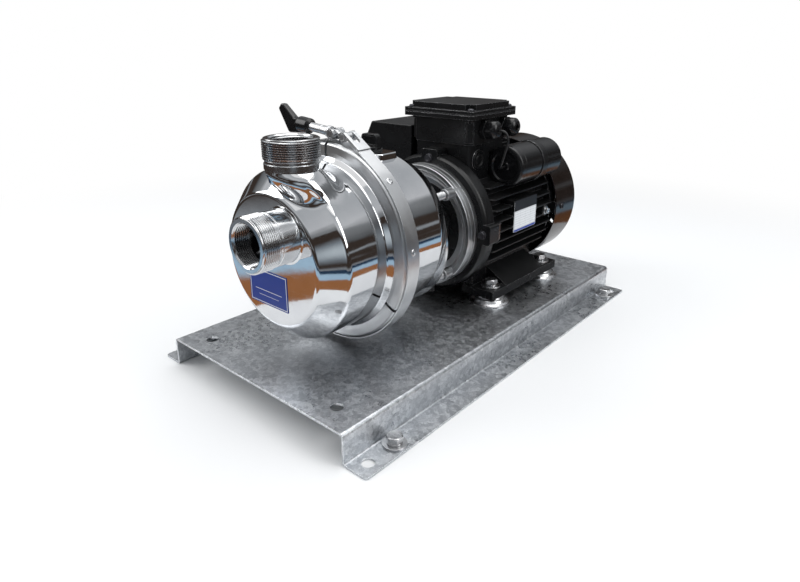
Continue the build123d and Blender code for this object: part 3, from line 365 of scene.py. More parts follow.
def spangle_group():
    """Crystals of zinc: two sizes of patches with a tone and a height each."""
    group, inside = new_group("spangle", Cell_Size=0.012, Bend=0.4)
    place = object_place(group)
    scale = one_over(group, inside["Cell Size"])
    bend = times(group, inside["Cell Size"], inside["Bend"])
    amount = add_node(group, "ShaderNodeCombineXYZ", bend, bend, bend)
    bent = add_node(group, "ShaderNodeVectorMath", noise_node(group, place, 90.0, 3.0, "Color"),
                    amount.outputs[0], place, operation="MULTIPLY_ADD")
    cells = add_node(group, "ShaderNodeTexVoronoi", Vector=bent.outputs[0], Scale=scale)
    small = add_node(group, "ShaderNodeTexVoronoi", Vector=bent.outputs[0], Scale=times(group, scale, 3.7))
    tone = add_node(group, "ShaderNodeSeparateColor", cells.outputs["Color"]).outputs
    fine = add_node(group, "ShaderNodeSeparateColor", small.outputs["Color"]).outputs
    bump = plus(group, times(group, tone[1], 0.5), times(group, fine[0], 0.5))
    return close_group(group, Tone=tone[0], Fine_Tone=fine[1], Bump=bump)


def grain_group():
    """A fine cast or moulded grain, with a slow unevenness under it."""
    group, inside = new_group("fine_grain", Grain_Size=0.0006, Patch_Size=0.02)
    place = object_place(group)
    grain = noise_node(group, place, one_over(group, inside["Grain Size"]), 2.0)
    patches = noise_node(group, place, one_over(group, inside["Patch Size"]), 4.0)
    return close_group(group, Grain=grain, Patches=patches)


def lines_group():
    """Fine lines left by a lathe tool or a belt, across a chosen coordinate of the piece."""
    group, inside = new_group("turned_lines", Along_X=0.0, Along_Y=1.0, Along_Z=0.0, Line_Pitch=0.0004)
    chosen = add_node(group, "ShaderNodeCombineXYZ", inside["Along X"], inside["Along Y"], inside["Along Z"])
    across = add_node(group, "ShaderNodeVectorMath", object_place(group), chosen.outputs[0],
                      operation="MULTIPLY").outputs[0]
    frequency = one_over(group, inside["Line Pitch"])
    broad = noise_node(group, across, times(group, frequency, 0.12), 2.0)
    return close_group(group, Lines=noise_node(group, across, frequency, 1.0), Broad_Lines=broad)


def edges_group():
    """A mask that is 1 on outer edges, where paint and zinc wear through, and 0 elsewhere."""
    group, inside = new_group("worn_edges", Edge_Width=0.0008, Threshold=0.05)
    bevel = add_node(group, "ShaderNodeBevel", samples=4, Radius=inside["Edge Width"])
    geometry = add_node(group, "ShaderNodeNewGeometry")
    dot = add_node(group, "ShaderNodeVectorMath", bevel.outputs["Normal"], geometry.outputs["Normal"],
                   operation="DOT_PRODUCT")
    noise = noise_node(group, object_place(group), 260.0, 4.0)
    broken = times(group, minus(group, 1.0, dot.outputs["Value"]), times(group, noise, 2.0))
    return close_group(group, Edge=times(group, minus(group, broken, inside["Threshold"]), 8.0, clamp=True))


def dust_group():
    """A thin dust that lies on faces that look up."""
    group, inside = new_group("dust", Amount=0.3)
    place = object_place(group)
    geometry = add_node(group, "ShaderNodeNewGeometry")
    rise = add_node(group, "ShaderNodeSeparateXYZ", geometry.outputs["Normal"]).outputs["Z"]
    patchy = times(group, noise_node(group, place, 60.0, 6.0), noise_node(group, place, 1400.0, 2.0))
    lying = times(group, times(group, math_node(group, "MAXIMUM", rise, 0.0), patchy), 4.0)
    return close_group(group, Dust=times(group, lying, inside["Amount"], clamp=True))


def scratches_group():
    """Thin scratches and wiping marks in many directions, as a mask."""
    group, inside = new_group("scratches", Scratch_Size=0.03)
    scale = one_over(group, inside["Scratch Size"])
    total = 0.0
    for turn, stretch in ((0.4, 26.0), (1.9, 34.0), (2.7, 20.0)):
        place = object_place(group, (1.0, stretch, stretch), (turn, turn * 0.7, turn * 1.3))
        streaks = noise_node(group, place, scale, 1.0)
        total = math_node(group, "MAXIMUM", total, math_node(group, "GREATER_THAN", streaks, 0.69))
    smudge = noise_node(group, object_place(group), 22.0, 5.0, Distortion=1.2)
    return close_group(group, Scratch=total, Smudge=smudge)


def rectangle_group():
    """A mask that is 1 inside a rectangle of X or Y, and Z."""
    group, inside = new_group("rectangle", Low_U=0.0, High_U=1.0, Low_V=0.0, High_V=1.0, Use_Y=0.0)
    parts = add_node(group, "ShaderNodeSeparateXYZ", object_place(group)).outputs
    from_x = times(group, parts[0], minus(group, 1.0, inside["Use Y"]))
    across = plus(group, from_x, times(group, parts[1], inside["Use Y"]))
    total = 1.0
    for value, low, high in ((across, "Low U", "High U"), (parts[2], "Low V", "High V")):
        above = math_node(group, "GREATER_THAN", value, inside[low])
        below = math_node(group, "LESS_THAN", value, inside[high])
        total = times(group, total, times(group, above, below))
    return close_group(group, Inside=total)


groups = {
    "spangle": spangle_group(), "grain": grain_group(), "lines": lines_group(), "edges": edges_group(),
    "dust": dust_group(), "scratches": scratches_group(), "rectangle": rectangle_group(),
}
print("shader groups", sorted(groups))

# %% [markdown]
# A finish is a material: the Principled shader with its plain values, and a few groups that vary
# its colour, roughness and bump over the surface. One helper builds the metals and one the paints
# and plastics, so that each finish is a short list of its own values. The grooves of a cut thread
# are darkened with painted shade where the ambient occlusion finds them.

# %% Metal finishes
finishes = {}
line_depth = 0.00002
# The dark grey of the painted shade in the grooves of cut threads.
groove_shade_color = (0.12, 0.115, 0.11)


def place_group(tree, name, **values):
    """A group placed in a material with its input values; gives its outputs."""
    return add_node(tree, "ShaderNodeGroup", node_tree=groups[name], **values).outputs


def start_finish(name, metallic):
    """A new material with its Principled shader; gives the tree and the shader."""
    finishes[name], tree = new_material(name)
    shader = tree.nodes["Principled BSDF"]
    feed_named(tree, shader, Metallic=metallic)
    return tree, shader


def rounded_normal(tree, shader, radius, height, distance):
    """Rounds the sharp edges of a piece in its shading and adds a bump to it."""
    bevel = add_node(tree, "ShaderNodeBevel", samples=4, Radius=radius)
    bump = add_node(tree, "ShaderNodeBump", Strength=1.0, Distance=distance, Height=height,
                    Normal=bevel.outputs["Normal"])
    feed_named(tree, shader, Normal=bump.outputs["Normal"])


def metal(name, color, shade, rough, line_axis=None, line_pitch=0.0004, grain_size=0.0008,
          grain_depth=0.00001, scratch=0.1, edge=0.0003, groove=0.0):
    """A bare metal. shade is its darker tone, rough its lowest and highest roughness, and groove
    the width of the cuts whose grooves are darkened with painted shade."""
    tree, shader = start_finish(name, 1.0)
    grain = place_group(tree, "grain", Grain_Size=grain_size, Patch_Size=0.03)
    marks = place_group(tree, "scratches", Scratch_Size=0.02)
    uneven = range_node(tree, grain["Patches"], -0.4, 1.4)
    height, depth = grain["Grain"], grain_depth
    if line_axis:
        along_x, along_y, along_z = line_axis
        lines = place_group(tree, "lines", Along_X=along_x, Along_Y=along_y, Along_Z=along_z,
                            Line_Pitch=line_pitch)
        height, depth = lines["Lines"], line_depth
        uneven = times(tree, plus(tree, uneven, lines["Broad Lines"]), 0.5)
    shown = blend_colors(tree, plus(tree, uneven, 0.0, clamp=True), shade, color)
    # Painted shade: narrow grooves that the ambient occlusion finds are darkened towards a dark grey.
    if groove > 0:
        open_sky = add_node(tree, "ShaderNodeAmbientOcclusion", samples=6, Distance=groove)
        painted_groove_shade = ramp_node(tree, open_sky.outputs["AO"], [(0.28, 0.85), (0.72, 0.0)])
        shown = blend_colors(tree, painted_groove_shade, shown, groove_shade_color)
    roughness = plus(tree, range_node(tree, marks["Smudge"], *rough), times(tree, marks["Scratch"], scratch))
    feed_named(tree, shader, Base_Color=shown, Roughness=roughness)
    rounded_normal(tree, shader, edge, height, depth)


metal("polished_stainless", (0.72, 0.73, 0.74), (0.62, 0.63, 0.65), (0.03, 0.10), grain_size=0.012,
      grain_depth=0.00004, scratch=0.05)
# The machined steel has its thread grooves darkened with painted shade.
metal("machined_stainless", (0.70, 0.71, 0.72), (0.56, 0.57, 0.58), (0.12, 0.20), grain_size=0.0016,
      scratch=0.04, edge=0.00008, groove=0.0018)
metal("brushed_stainless", (0.66, 0.67, 0.68), (0.50, 0.51, 0.52), (0.24, 0.38), line_axis=(0, 1, 0),
      line_pitch=0.00025)
metal("zinc", (0.70, 0.71, 0.72), (0.50, 0.50, 0.51), (0.20, 0.36), grain_size=0.0012, scratch=0.06)
metal("cast_aluminium", (0.60, 0.61, 0.62), (0.40, 0.41, 0.42), (0.24, 0.40), grain_size=0.0009,
      grain_depth=0.00004, scratch=0.08)
metal("dark_steel", (0.10, 0.10, 0.11), (0.05, 0.05, 0.055), (0.30, 0.50), grain_size=0.0007)
metal("shaft_steel", (0.62, 0.62, 0.63), (0.50, 0.50, 0.51), (0.15, 0.28), line_axis=(0, 1, 0))
metal("core_steel", (0.36, 0.36, 0.38), (0.22, 0.22, 0.24), (0.35, 0.55), line_axis=(0, 1, 0),
      line_pitch=0.001)
metal("copper", (0.72, 0.30, 0.14), (0.48, 0.17, 0.07), (0.22, 0.40), line_axis=(1, 0, 1), line_pitch=0.0012)
print("metals", len(finishes))

# %% [markdown]
# The galvanised plate has three layers: the spangle of the zinc, a bluish dull film where it was
# stored wet, and the scratches of parts slid over it. Bends and edges are rubbed bright.

# %% Galvanised steel
def galvanised_steel():
    """Zinc with its spangle, a dull film, scratches and bright edges."""
    tree, shader = start_finish("galvanised_steel", 1.0)
    spangle = place_group(tree, "spangle", Cell_Size=0.0050, Bend=1.3)
    marks = place_group(tree, "scratches", Scratch_Size=0.045)
    edges = place_group(tree, "edges", Edge_Width=0.0015, Threshold=0.04)
    patches = place_group(tree, "grain", Grain_Size=0.0016, Patch_Size=0.07)
    tone = plus(tree, times(tree, spangle["Tone"], 0.6), times(tree, spangle["Fine Tone"], 0.4))
    zinc_tone = ramp_node(tree, tone, [
        (0.15, (0.43, 0.45, 0.475)), (0.5, (0.58, 0.60, 0.625)), (0.85, (0.78, 0.80, 0.82))])
    film = ramp_node(tree, patches["Patches"], [(0.40, 0.0), (0.62, 1.0)])
    dull = blend_colors(tree, times(tree, film, 0.45), zinc_tone, (0.42, 0.44, 0.465))
    bright = math_node(tree, "MAXIMUM", edges["Edge"], times(tree, marks["Scratch"], 0.12))
    rough = plus(tree, range_node(tree, tone, 0.23, 0.38), times(tree, film, 0.10))
    feed_named(tree, shader, Base_Color=blend_colors(tree, bright, dull, (0.80, 0.82, 0.84)),
               Roughness=minus(tree, rough, times(tree, bright, 0.12)))
    height = plus(tree, spangle["Bump"], times(tree, patches["Grain"], 0.3))
    rounded_normal(tree, shader, 0.0006, height, 0.00010)


galvanised_steel()
print("galvanised steel", len(finishes["galvanised_steel"].node_tree.nodes), "nodes")

# %% [markdown]
# The motor's black enamel is semi-gloss over a sandy casting: fine bumps, a slow unevenness, dust on
# what looks up, and bare metal where an edge was knocked. Plastics share the same helper with a
# smoother grain and no bare metal.

# %% Paints and plastics
bare_metal = (0.42, 0.42, 0.43)


def coated(name, color, dust_color, rough, grain_size, grain_depth, wear=0.0, dust=0.2, shine=0.5):
    """Paint, plastic or rubber with dust on what looks up and wear on its edges."""
    tree, shader = start_finish(name, 0.0)
    grain = place_group(tree, "grain", Grain_Size=grain_size, Patch_Size=0.025)
    lying = place_group(tree, "dust", Amount=dust)["Dust"]
    paler = tuple(min(1.0, part * 1.7 + 0.004) for part in color)
    shown = blend_colors(tree, times(tree, grain["Patches"], 0.5), color, paler)
    shown = blend_colors(tree, lying, shown, dust_color)
    if wear > 0:
        edge = place_group(tree, "edges", Edge_Width=0.0008, Threshold=1.0 - wear)["Edge"]
        shown = blend_colors(tree, edge, shown, bare_metal)
        feed_named(tree, shader, Metallic=times(tree, edge, 0.9))
    roughness = plus(tree, range_node(tree, grain["Patches"], *rough), times(tree, lying, 0.35))
    feed_named(tree, shader, Base_Color=shown, Roughness=roughness, Specular_IOR_Level=shine)
    rounded_normal(tree, shader, 0.0008, grain["Grain"], grain_depth)


coated("black_paint", (0.0035, 0.0036, 0.004), (0.035, 0.035, 0.035), (0.20, 0.36), 0.0011, 0.00006,
       wear=0.93, dust=0.10, shine=0.32)
coated("cowl_paint", (0.007, 0.0045, 0.0038), (0.04, 0.035, 0.03), (0.10, 0.20), 0.004, 0.00005, dust=0.06,
       shine=0.55)
coated("black_plastic", (0.0035, 0.0035, 0.004), (0.03, 0.03, 0.03), (0.14, 0.26), 0.0008, 0.00002,
       dust=0.08, shine=0.4)
coated("capacitor_plastic", (0.004, 0.004, 0.0045), (0.03, 0.03, 0.03), (0.16, 0.28), 0.003, 0.00003,
       dust=0.06, shine=0.45)
coated("lead_rubber", (0.006, 0.006, 0.0065), (0.03, 0.03, 0.03), (0.30, 0.44), 0.0010, 0.00003, dust=0.1)
coated("rubber", (0.010, 0.010, 0.011), (0.05, 0.05, 0.05), (0.55, 0.70), 0.0009, 0.00005, dust=0.15,
       shine=0.3)
coated("seal_face", (0.05, 0.05, 0.055), (0.09, 0.09, 0.09), (0.20, 0.30), 0.0015, 0.00002, dust=0.0)
print("finishes", len(finishes))

# %% [markdown]
# Two plates carry no words: the blue plate on the casing's face with a white line round it, and the
# motor's plate with a dark head, a ruled white field and a blue foot. The rectangle group gives a
# mask that is 1 inside a rectangle, and both plates are painted with it.

# %% Painted plates
def painted_plate(name, base, rough, fields, use_y=0.0):
    """A plate with rectangles of colour: (low u, high u, low v, high v, colour) in millimetres."""
    tree, shader = start_finish(name, 0.0)
    grain = place_group(tree, "grain", Grain_Size=0.0010, Patch_Size=0.02)
    darker = tuple(0.75 * part for part in base)
    shown = blend_colors(tree, times(tree, grain["Patches"], 0.4), base, darker)
    for low_u, high_u, low_v, high_v, color in fields:
        mask = place_group(tree, "rectangle", Low_U=mm(low_u), High_U=mm(high_u), Low_V=mm(low_v),
                           High_V=mm(high_v), Use_Y=use_y)
        shown = blend_colors(tree, mask["Inside"], shown, color)
    roughness = range_node(tree, grain["Patches"], rough, rough + 0.12)
    feed_named(tree, shader, Base_Color=shown, Roughness=roughness, Specular_IOR_Level=0.3)
    rounded_normal(tree, shader, 0.0002, grain["Grain"], 0.00001)


blue = (0.013, 0.040, 0.235)
white = (0.70, 0.72, 0.74)
rule_grey = (0.34, 0.36, 0.38)
painted_plate("label_blue", blue, 0.28, [
    (-38.6, 24.6, 109.4, 147.6, white), (-37.8, 23.8, 110.2, 146.8, blue), (-30.0, 16.0, 124.4, 125.0, white),
    (-24.0, 10.0, 118.4, 118.8, white)])
rows = [(84.0, 140.0, 138.5 + 3.4 * number, 138.8 + 3.4 * number, rule_grey) for number in range(8)]
columns = [(98.0 + 14.0 * number, 98.3 + 14.0 * number, 138.5, 162.5, rule_grey) for number in range(3)]
painted_plate("plate_silver", (0.60, 0.62, 0.64), 0.30, [
    (82.0, 142.0, 164.0, 180.0, (0.010, 0.010, 0.012)), (84.0, 140.0, 138.0, 163.0, (0.72, 0.74, 0.76)),
    *rows, *columns, (83.0, 141.0, 134.4, 137.4, (0.02, 0.05, 0.30))], use_y=1.0)
print("rules on the motor's plate", len(rows) + len(columns))

# %% [markdown]
# Every CAD node gets the finish of its material slot. The slot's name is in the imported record, so
# one loop is enough.

# %% Finishes on the CAD nodes
slot_of_node = {row["node"]: row["material_slot"] for row in frame["record"]["subparts"]}
for node_name, node in frame["nodes"].items():
    node.data.materials.clear()
    node.data.materials.append(finishes[slot_of_node[node_name]])
print("slots in use", len(set(slot_of_node.values())))

# %% [markdown]
# The pieces share a few ways of making a shape: an outline with round corners, a turned body, a
# prism, a cut, and a softened copy of a CAD piece. Each helper works on a mesh in the making, so
# that shapes can be joined before they become one piece. Sizes are given in millimetres.

# %% Helpers for shapes
def rounded_outline(points, steps=5):
    """A closed outline with round corners; points are (u, v) or (u, v, radius)."""
    outline = []
    for number, point in enumerate(points):
        corner = Vector(point[:2])
        radius = point[2] if len(point) > 2 else 0.0
        if radius <= 0:
            outline.append(tuple(corner))
            continue
        before = (Vector(points[number - 1][:2]) - corner).normalized()
        after = (Vector(points[(number + 1) % len(points)][:2]) - corner).normalized()
        half = before.angle(after) / 2
        centre = corner + (before + after).normalized() * radius / math.sin(half)
        start = corner + before * radius / math.tan(half) - centre
        stop = corner + after * radius / math.tan(half) - centre
        first = math.atan2(start.y, start.x)
        turn = (math.atan2(stop.y, stop.x) - first + math.pi) % (2 * math.pi) - math.pi
        for step in range(steps + 1):
            angle = first + turn * step / steps
            outline.append((centre.x + radius * math.cos(angle), centre.y + radius * math.sin(angle)))
    return outline


def box(low_u, low_v, high_u, high_v, radius=0.0, steps=4):
    """The outline of a rectangle."""
    corners = [(low_u, low_v), (high_u, low_v), (high_u, high_v), (low_u, high_v)]
    return rounded_outline([(*corner, radius) for corner in corners], steps)


def on_axis(axis, centre, across, up, along):
    """A point beside an axis through the centre, in metres."""
    x, y, z = centre
    if axis == "X":
        return mm_point(along, y + across, z + up)
    if axis == "Y":
        return mm_point(x + across, along, z + up)
    return mm_point(x + across, y + up, along)


def turned(outline, axis="Y", centre=(0, 0, 0), steps=144, start=0.0, sweep=360.0):
    """A body turned about an axis; the outline holds (radius, along)."""
    builder = bmesh.new()
    full = sweep > 359.9
    rings = []
    for number in range(steps if full else steps + 1):
        angle = math.radians(start + sweep * number / steps)
        ring = []
        for radius, along in outline:
            place = on_axis(axis, centre, radius * math.cos(angle), radius * math.sin(angle), along)
            ring.append(builder.verts.new(place))
        rings.append(ring)
    for number in range(steps):
        one, two = rings[number], rings[(number + 1) % len(rings)]
        for place in range(len(outline)):
            following = (place + 1) % len(outline)
            if outline[place][0] > 1e-6 or outline[following][0] > 1e-6:
                builder.faces.new((one[place], one[following], two[following], two[place]))
    if not full:
        builder.faces.new(rings[0])
        builder.faces.new(rings[-1])
    bmesh.ops.remove_doubles(builder, verts=builder.verts, dist=1e-7)
    return builder


def spun(points, steps, corner_steps=3, axis="Z", centre=(0, 0, 0)):
    """A turned body whose outline has round corners."""
    return turned(rounded_outline(points, corner_steps), axis, centre, steps)


def rod(radius, low, high, axis="Z", centre=(0, 0, 0), steps=24):
    """A plain round body."""
    return turned([(0, low), (radius, low), (radius, high), (0, high)], axis, centre, steps)


def bridge(builder, one, two, closed=True):
    """Faces between two rows of points, which may be rings."""
    for number in range(len(one) if closed else len(one) - 1):
        following = (number + 1) % len(one)
        builder.faces.new((one[number], one[following], two[following], two[number]))


def prism(outline, axis, low, high):
    """An outline drawn out along an axis: (x, z) along Y, (x, y) along Z or (y, z) along X."""
    builder = bmesh.new()
    rings = []
    for along in (low, high):
        rings.append([builder.verts.new(on_axis(axis, (0, 0, 0), u, v, along)) for u, v in outline])
    bridge(builder, *rings)
    builder.faces.new(rings[0])
    builder.faces.new(rings[1])
    return builder


def to_mesh(builder, name="making"):
    """Turn a mesh in the making into a real mesh with its normals outward."""
    bmesh.ops.recalc_face_normals(builder, faces=builder.faces)
    mesh = bpy.data.meshes.new(name)
    builder.to_mesh(mesh)
    builder.free()
    return mesh


def baked(maker):
    """The mesh that an object's modifiers give."""
    graph = bpy.context.evaluated_depsgraph_get()
    return bpy.data.meshes.new_from_object(maker.evaluated_get(graph))


def unmade(maker):
    """Bake an object back into a mesh in the making; the object goes away."""
    mesh = baked(maker)
    builder = bmesh.new()
    builder.from_mesh(mesh)
    old = maker.data
    bpy.data.objects.remove(maker)
    bpy.data.meshes.remove(old)
    bpy.data.meshes.remove(mesh)
    return builder


def softened(builder, width, segments=2, degrees=35.0):
    """Round the sharp edges by a width in millimetres."""
    maker = new_object("making", to_mesh(builder))
    bevel = maker.modifiers.new("soft", "BEVEL")
    bevel.width = mm(width)
    bevel.segments = segments
    bevel.limit_method = "ANGLE"
    bevel.angle_limit = math.radians(degrees)
    return unmade(maker)


def cut(builder, *cutters):
    """Take shapes away from a shape."""
    for cutter in cutters:
        tool = new_object("cutter", to_mesh(cutter))
        maker = new_object("making", to_mesh(builder))
        boolean = maker.modifiers.new("cut", "BOOLEAN")
        boolean.operation = "DIFFERENCE"
        boolean.solver = "EXACT"
        boolean.object = tool
        builder = unmade(maker)
        bpy.data.objects.remove(tool)
    return builder


def joined(*builders):
    """One mesh in the making from several."""
    whole = builders[0]
    for builder in builders[1:]:
        mesh = to_mesh(builder)
        whole.from_mesh(mesh)
        bpy.data.meshes.remove(mesh)
    return whole


def keep_piece(name, builder, finish, *replaced, body="pump_set", degrees=30.0):
    """Make the finished piece, give it its finish and body, and take away the CAD nodes it replaces."""
    piece = new_object(name, to_mesh(builder, name))
    plain = piece.data
    plain.materials.clear()
    plain.materials.append(finishes[finish])
    plain.shade_smooth()
    plain.set_sharp_from_angle(angle=math.radians(degrees))
    weigh = piece.modifiers.new("flat faces stay flat", "WEIGHTED_NORMAL")
    weigh.keep_sharp = True
    weighed = baked(piece)
    piece.modifiers.clear()
    piece.data = weighed
    bpy.data.meshes.remove(plain)
    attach(piece, body)
    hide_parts(*replaced)
    print(name, len(piece.data.polygons), "faces")
    return piece


def keep_copy(name, cad_name, finish, width, segments=2, edge_degrees=35.0, degrees=30.0):
    """Keep a CAD piece of the pump set with its triangles merged and its edges softened."""
    node = frame["nodes"][cad_name]
    builder = bmesh.new()
    builder.from_mesh(node.data)
    builder.transform(node.matrix_world)
    bmesh.ops.remove_doubles(builder, verts=builder.verts, dist=2e-6)
    bmesh.ops.dissolve_limit(builder, angle_limit=math.radians(0.6), verts=builder.verts, edges=builder.edges)
    soft = softened(builder, width, segments, edge_degrees)
    return keep_piece(name, soft, finish, cad_name, degrees=degrees)


print("shape helpers ready")

# %% [markdown]
# Threads, bolts and fins repeat, so Geometry Nodes places them. One tree sets a pattern on marked
# points, faces it along each point's direction and gives it a random turn. The other winds a ridge
# along a spiral, whose ends fade out as a cut thread does. Both end in real mesh with a material.

# %% Node trees for what repeats
thread_section = ((0.15, -0.47), (-1.0, -0.07), (-1.0, 0.07), (0.15, 0.47))


def new_tree(name, **inputs):
    """An empty geometry tree whose inputs have a kind and a value; gives it and the sockets inside."""
    tree = bpy.data.node_groups.new(name, "GeometryNodeTree")
    new_socket(tree, "Geometry", "INPUT", "Geometry")
    for key, (kind, value) in inputs.items():
        new_socket(tree, key, "INPUT", kind, value)
    new_socket(tree, "Geometry", "OUTPUT", "Geometry")
    return tree, add_node(tree, "NodeGroupInput").outputs


def end_tree(tree, geometry, material):
    """Realize the instances, set the material and finish the tree."""
    real = add_node(tree, "GeometryNodeRealizeInstances", geometry)
    painted = add_node(tree, "GeometryNodeSetMaterial", Geometry=real.outputs[0], Material=material)
    add_node(tree, "NodeGroupOutput", painted.outputs[0])
    return tree


def repeat_tree():
    """Sets a pattern on points, each faced along its own direction and turned at random."""
    tree, inside = new_tree("repeat_on_points", Pattern=("Object", None), Random_Turn=("Float", 0.0),
                            Seed=("Int", 1), Material=("Material", None))
    points = add_node(tree, "GeometryNodeMeshToPoints", Mesh=inside["Geometry"])
    facing_way = add_node(tree, "GeometryNodeInputNamedAttribute", data_type="FLOAT_VECTOR", Name="facing")
    align = add_node(tree, "FunctionNodeAlignRotationToVector", axis="Z",
                     Vector=facing_way.outputs["Attribute"])
    chance = add_node(tree, "FunctionNodeRandomValue", data_type="FLOAT", Seed=inside["Seed"])
    feed(tree, chance.inputs[3], inside["Random Turn"])
    spin = add_node(tree, "FunctionNodeAxisAngleToRotation", Angle=chance.outputs[1])
    turn = add_node(tree, "FunctionNodeRotateRotation", rotation_space="LOCAL", Rotation=align.outputs[0],
                    Rotate_By=spin.outputs[0])
    pattern = add_node(tree, "GeometryNodeObjectInfo", Object=inside["Pattern"])
    placed = add_node(tree, "GeometryNodeInstanceOnPoints", Points=points.outputs[0],
                      Instance=pattern.outputs["Geometry"], Rotation=turn.outputs[0])
    return end_tree(tree, placed.outputs[0], inside["Material"])


def thread_tree():
    """Winds a thread's section along a spiral; it grows and fades over the fade turns at its ends."""
    tree, inside = new_tree(
        "thread_ridge", Turns=("Float", 8.0), Pitch=("Float", 0.002), Root_Radius=("Float", 0.01),
        Depth=("Float", 0.001), Fade_Turns=("Float", 0.5), Steps=("Int", 72), Material=("Material", None))
    turns, pitch, radius = inside["Turns"], inside["Pitch"], inside["Root Radius"]
    spiral = add_node(tree, "GeometryNodeCurveSpiral", Resolution=inside["Steps"], Rotations=turns,
                      Start_Radius=radius, End_Radius=radius, Height=times(tree, turns, pitch))
    upright = add_node(tree, "GeometryNodeSetCurveNormal", mode="Z_UP", Curve=spiral.outputs[0])
    section = add_node(tree, "GeometryNodeCurvePrimitiveQuadrilateral", mode="POINTS")
    for number, (out, along) in enumerate(thread_section, 1):
        corner = add_node(tree, "ShaderNodeCombineXYZ", times(tree, inside["Depth"], out),
                          times(tree, pitch, along))
        feed(tree, section.inputs["Point %d" % number], corner.outputs[0])
    factor = add_node(tree, "GeometryNodeSplineParameter").outputs["Factor"]
    growth = math_node(tree, "DIVIDE", turns, inside["Fade Turns"])
    rise = times(tree, factor, growth)
    fall = times(tree, minus(tree, 1.0, factor), growth)
    ends = math_node(tree, "MINIMUM", math_node(tree, "MINIMUM", rise, fall), 1.0)
    sweep = add_node(tree, "GeometryNodeCurveToMesh", Curve=upright.outputs[0], Fill_Caps=True,
                     Profile_Curve=section.outputs[0], Scale=plus(tree, ends, 0.02))
    return end_tree(tree, sweep.outputs[0], inside["Material"])


trees = {"repeat": repeat_tree(), "thread": thread_tree()}


def run_tree(tree, builder, **values):
    """Run a tree on a mesh in the making with its inputs set by name, and bake the result."""
    maker = new_object("making", to_mesh(builder))
    modifier = maker.modifiers.new("tree", "NODES")
    modifier.node_group = tree
    for item in tree.interface.items_tree:
        key = item.name.replace(" ", "_")
        if item.in_out == "INPUT" and key in values:
            modifier[item.identifier] = values[key]
    return unmade(maker)


def repeated(pattern, places, finish, seed=1, random_turn=360.0):
    """A pattern built at the origin along +Z, set at each (point, facing) in millimetres."""
    pattern_piece = new_object("pattern", to_mesh(pattern))
    builder = bmesh.new()
    facing_way = builder.verts.layers.float_vector.new("facing")
    for point, way in places:
        builder.verts.new(mm_point(*point))[facing_way] = Vector(way)
    result = run_tree(trees["repeat"], builder, Pattern=pattern_piece, Random_Turn=math.radians(random_turn),
                      Seed=seed, Material=finishes[finish])
    bpy.data.objects.remove(pattern_piece)
    return result


def move_to(x, y, z, axis="Z"):
    """A matrix that puts a body built along +Z at a place, along the chosen axis."""
    degrees, about = {"Z": (0, "X"), "Y": (-90, "X"), "X": (90, "Y")}[axis]
    return Matrix.Translation(mm_point(x, y, z)) @ Matrix.Rotation(math.radians(degrees), 4, about)


def thread_ridge(turns, pitch, radius, depth, finish, move, steps=72):
    """A thread ridge wound on a cylinder; a negative depth cuts it inside a bore. Move places it."""
    result = run_tree(trees["thread"], bmesh.new(), Turns=float(turns), Pitch=mm(pitch),
                      Root_Radius=mm(radius), Depth=mm(depth), Steps=steps, Material=finishes[finish])
    result.transform(move)
    return result


print("trees", sorted(trees))

# %% [markdown]
# Each port is a turned pipe nipple with an outside G 2 thread, 11 threads to the inch, and a G 1 1/2
# thread inside. A relief groove ends the thread, and a plain neck runs on to the casing. The body is
# turned at the thread's root, and the ridge is wound on it, so the crests catch the light as they
# do on real cut threads.

# %% Threaded ports
port_pitch = 2.309
port_crest, port_root, port_plain = 29.75, 28.3, 28.8
port_relief = port_root - 0.5
port_bore = 22.4
thread_end, relief_end = 22.2, 24.8
casing_z = 162.0
suction_centre, suction_end = (25.0, 0, 196.0), -304.6
discharge_x, discharge_y, discharge_top = 23.0, -239.5, 295.0
discharge_centre = (discharge_x, discharge_y, 0)


def port_outline(end, foot, sign):
    """Section of a nipple from its free end to its foot; sign is the way from end to foot."""
    section = [
        (port_bore, 1.6), (port_bore + 1.4, 0.0, 0.3), (port_relief, 0.0, 0.4), (port_root, 1.2),
        (port_root, thread_end - 0.6), (port_relief, thread_end, 0.3), (port_relief, relief_end, 0.3),
        (port_plain, relief_end + 0.5, 0.4)]
    placed = [(radius, end + sign * depth, *corner) for radius, depth, *corner in section]
    return rounded_outline([*placed, (port_plain, foot), (port_bore, foot)], 3)


def nipple(centre, end, foot, sign, axis):
    """A nipple's body with its outside and its inside thread."""
    parts = [turned(port_outline(end, foot, sign), axis, centre, 192)]
    thread_start = list(centre)
    thread_start["XYZ".index(axis)] = min(end, end + sign * thread_end)
    threads = [(9.2, port_root, port_crest - port_root, 0.6), (8.6, port_bore + 0.1, -1.4, 1.2)]
    for turns, radius, depth, lift in threads:
        move = move_to(*thread_start, axis) @ Matrix.Translation((0, 0, mm(lift)))
        parts.append(thread_ridge(turns, port_pitch, radius, depth, "machined_stainless", move))
    return joined(*parts)


suction = nipple(suction_centre, suction_end, -250.0, 1, "Y")
discharge = nipple(discharge_centre, discharge_top, 264.0, -1, "Z")
keep_piece("suction_port", suction, "machined_stainless", "suction_nipple")
keep_piece("discharge_port", discharge, "machined_stainless", "discharge_nipple")

# %% [markdown]
# The front casing is spun from sheet: a flat face, a round rim, a cone, a cylinder and a flared
# flange that the band clamp grips. The discharge neck is drawn up out of it, so it flows into the
# shell instead of meeting it at an edge. Each line of that blend is a Bezier curve that leaves the
# neck downwards, with a lean to the right, and lands flat on the shell. The polished surface shows
# every bump, so the shell is one turned outline with many steps. The bare label plate sits on its
# face.

# %% Front casing
casing_outline = rounded_outline([
    (0, -258.0), (74.5, -258.0, 8.0), (97.0, -233.5, 9.0), (97.0, -179.0, 4.0), (102.4, -173.5, 2.0),
    (102.4, -169.6, 0.8), (112.0, -164.2, 0.5), (112.0, -162.0, 0.4), (94.5, -162.0), (94.5, -231.7, 8.0),
    (73.5, -255.5, 5.5), (0, -255.5),
], 9)


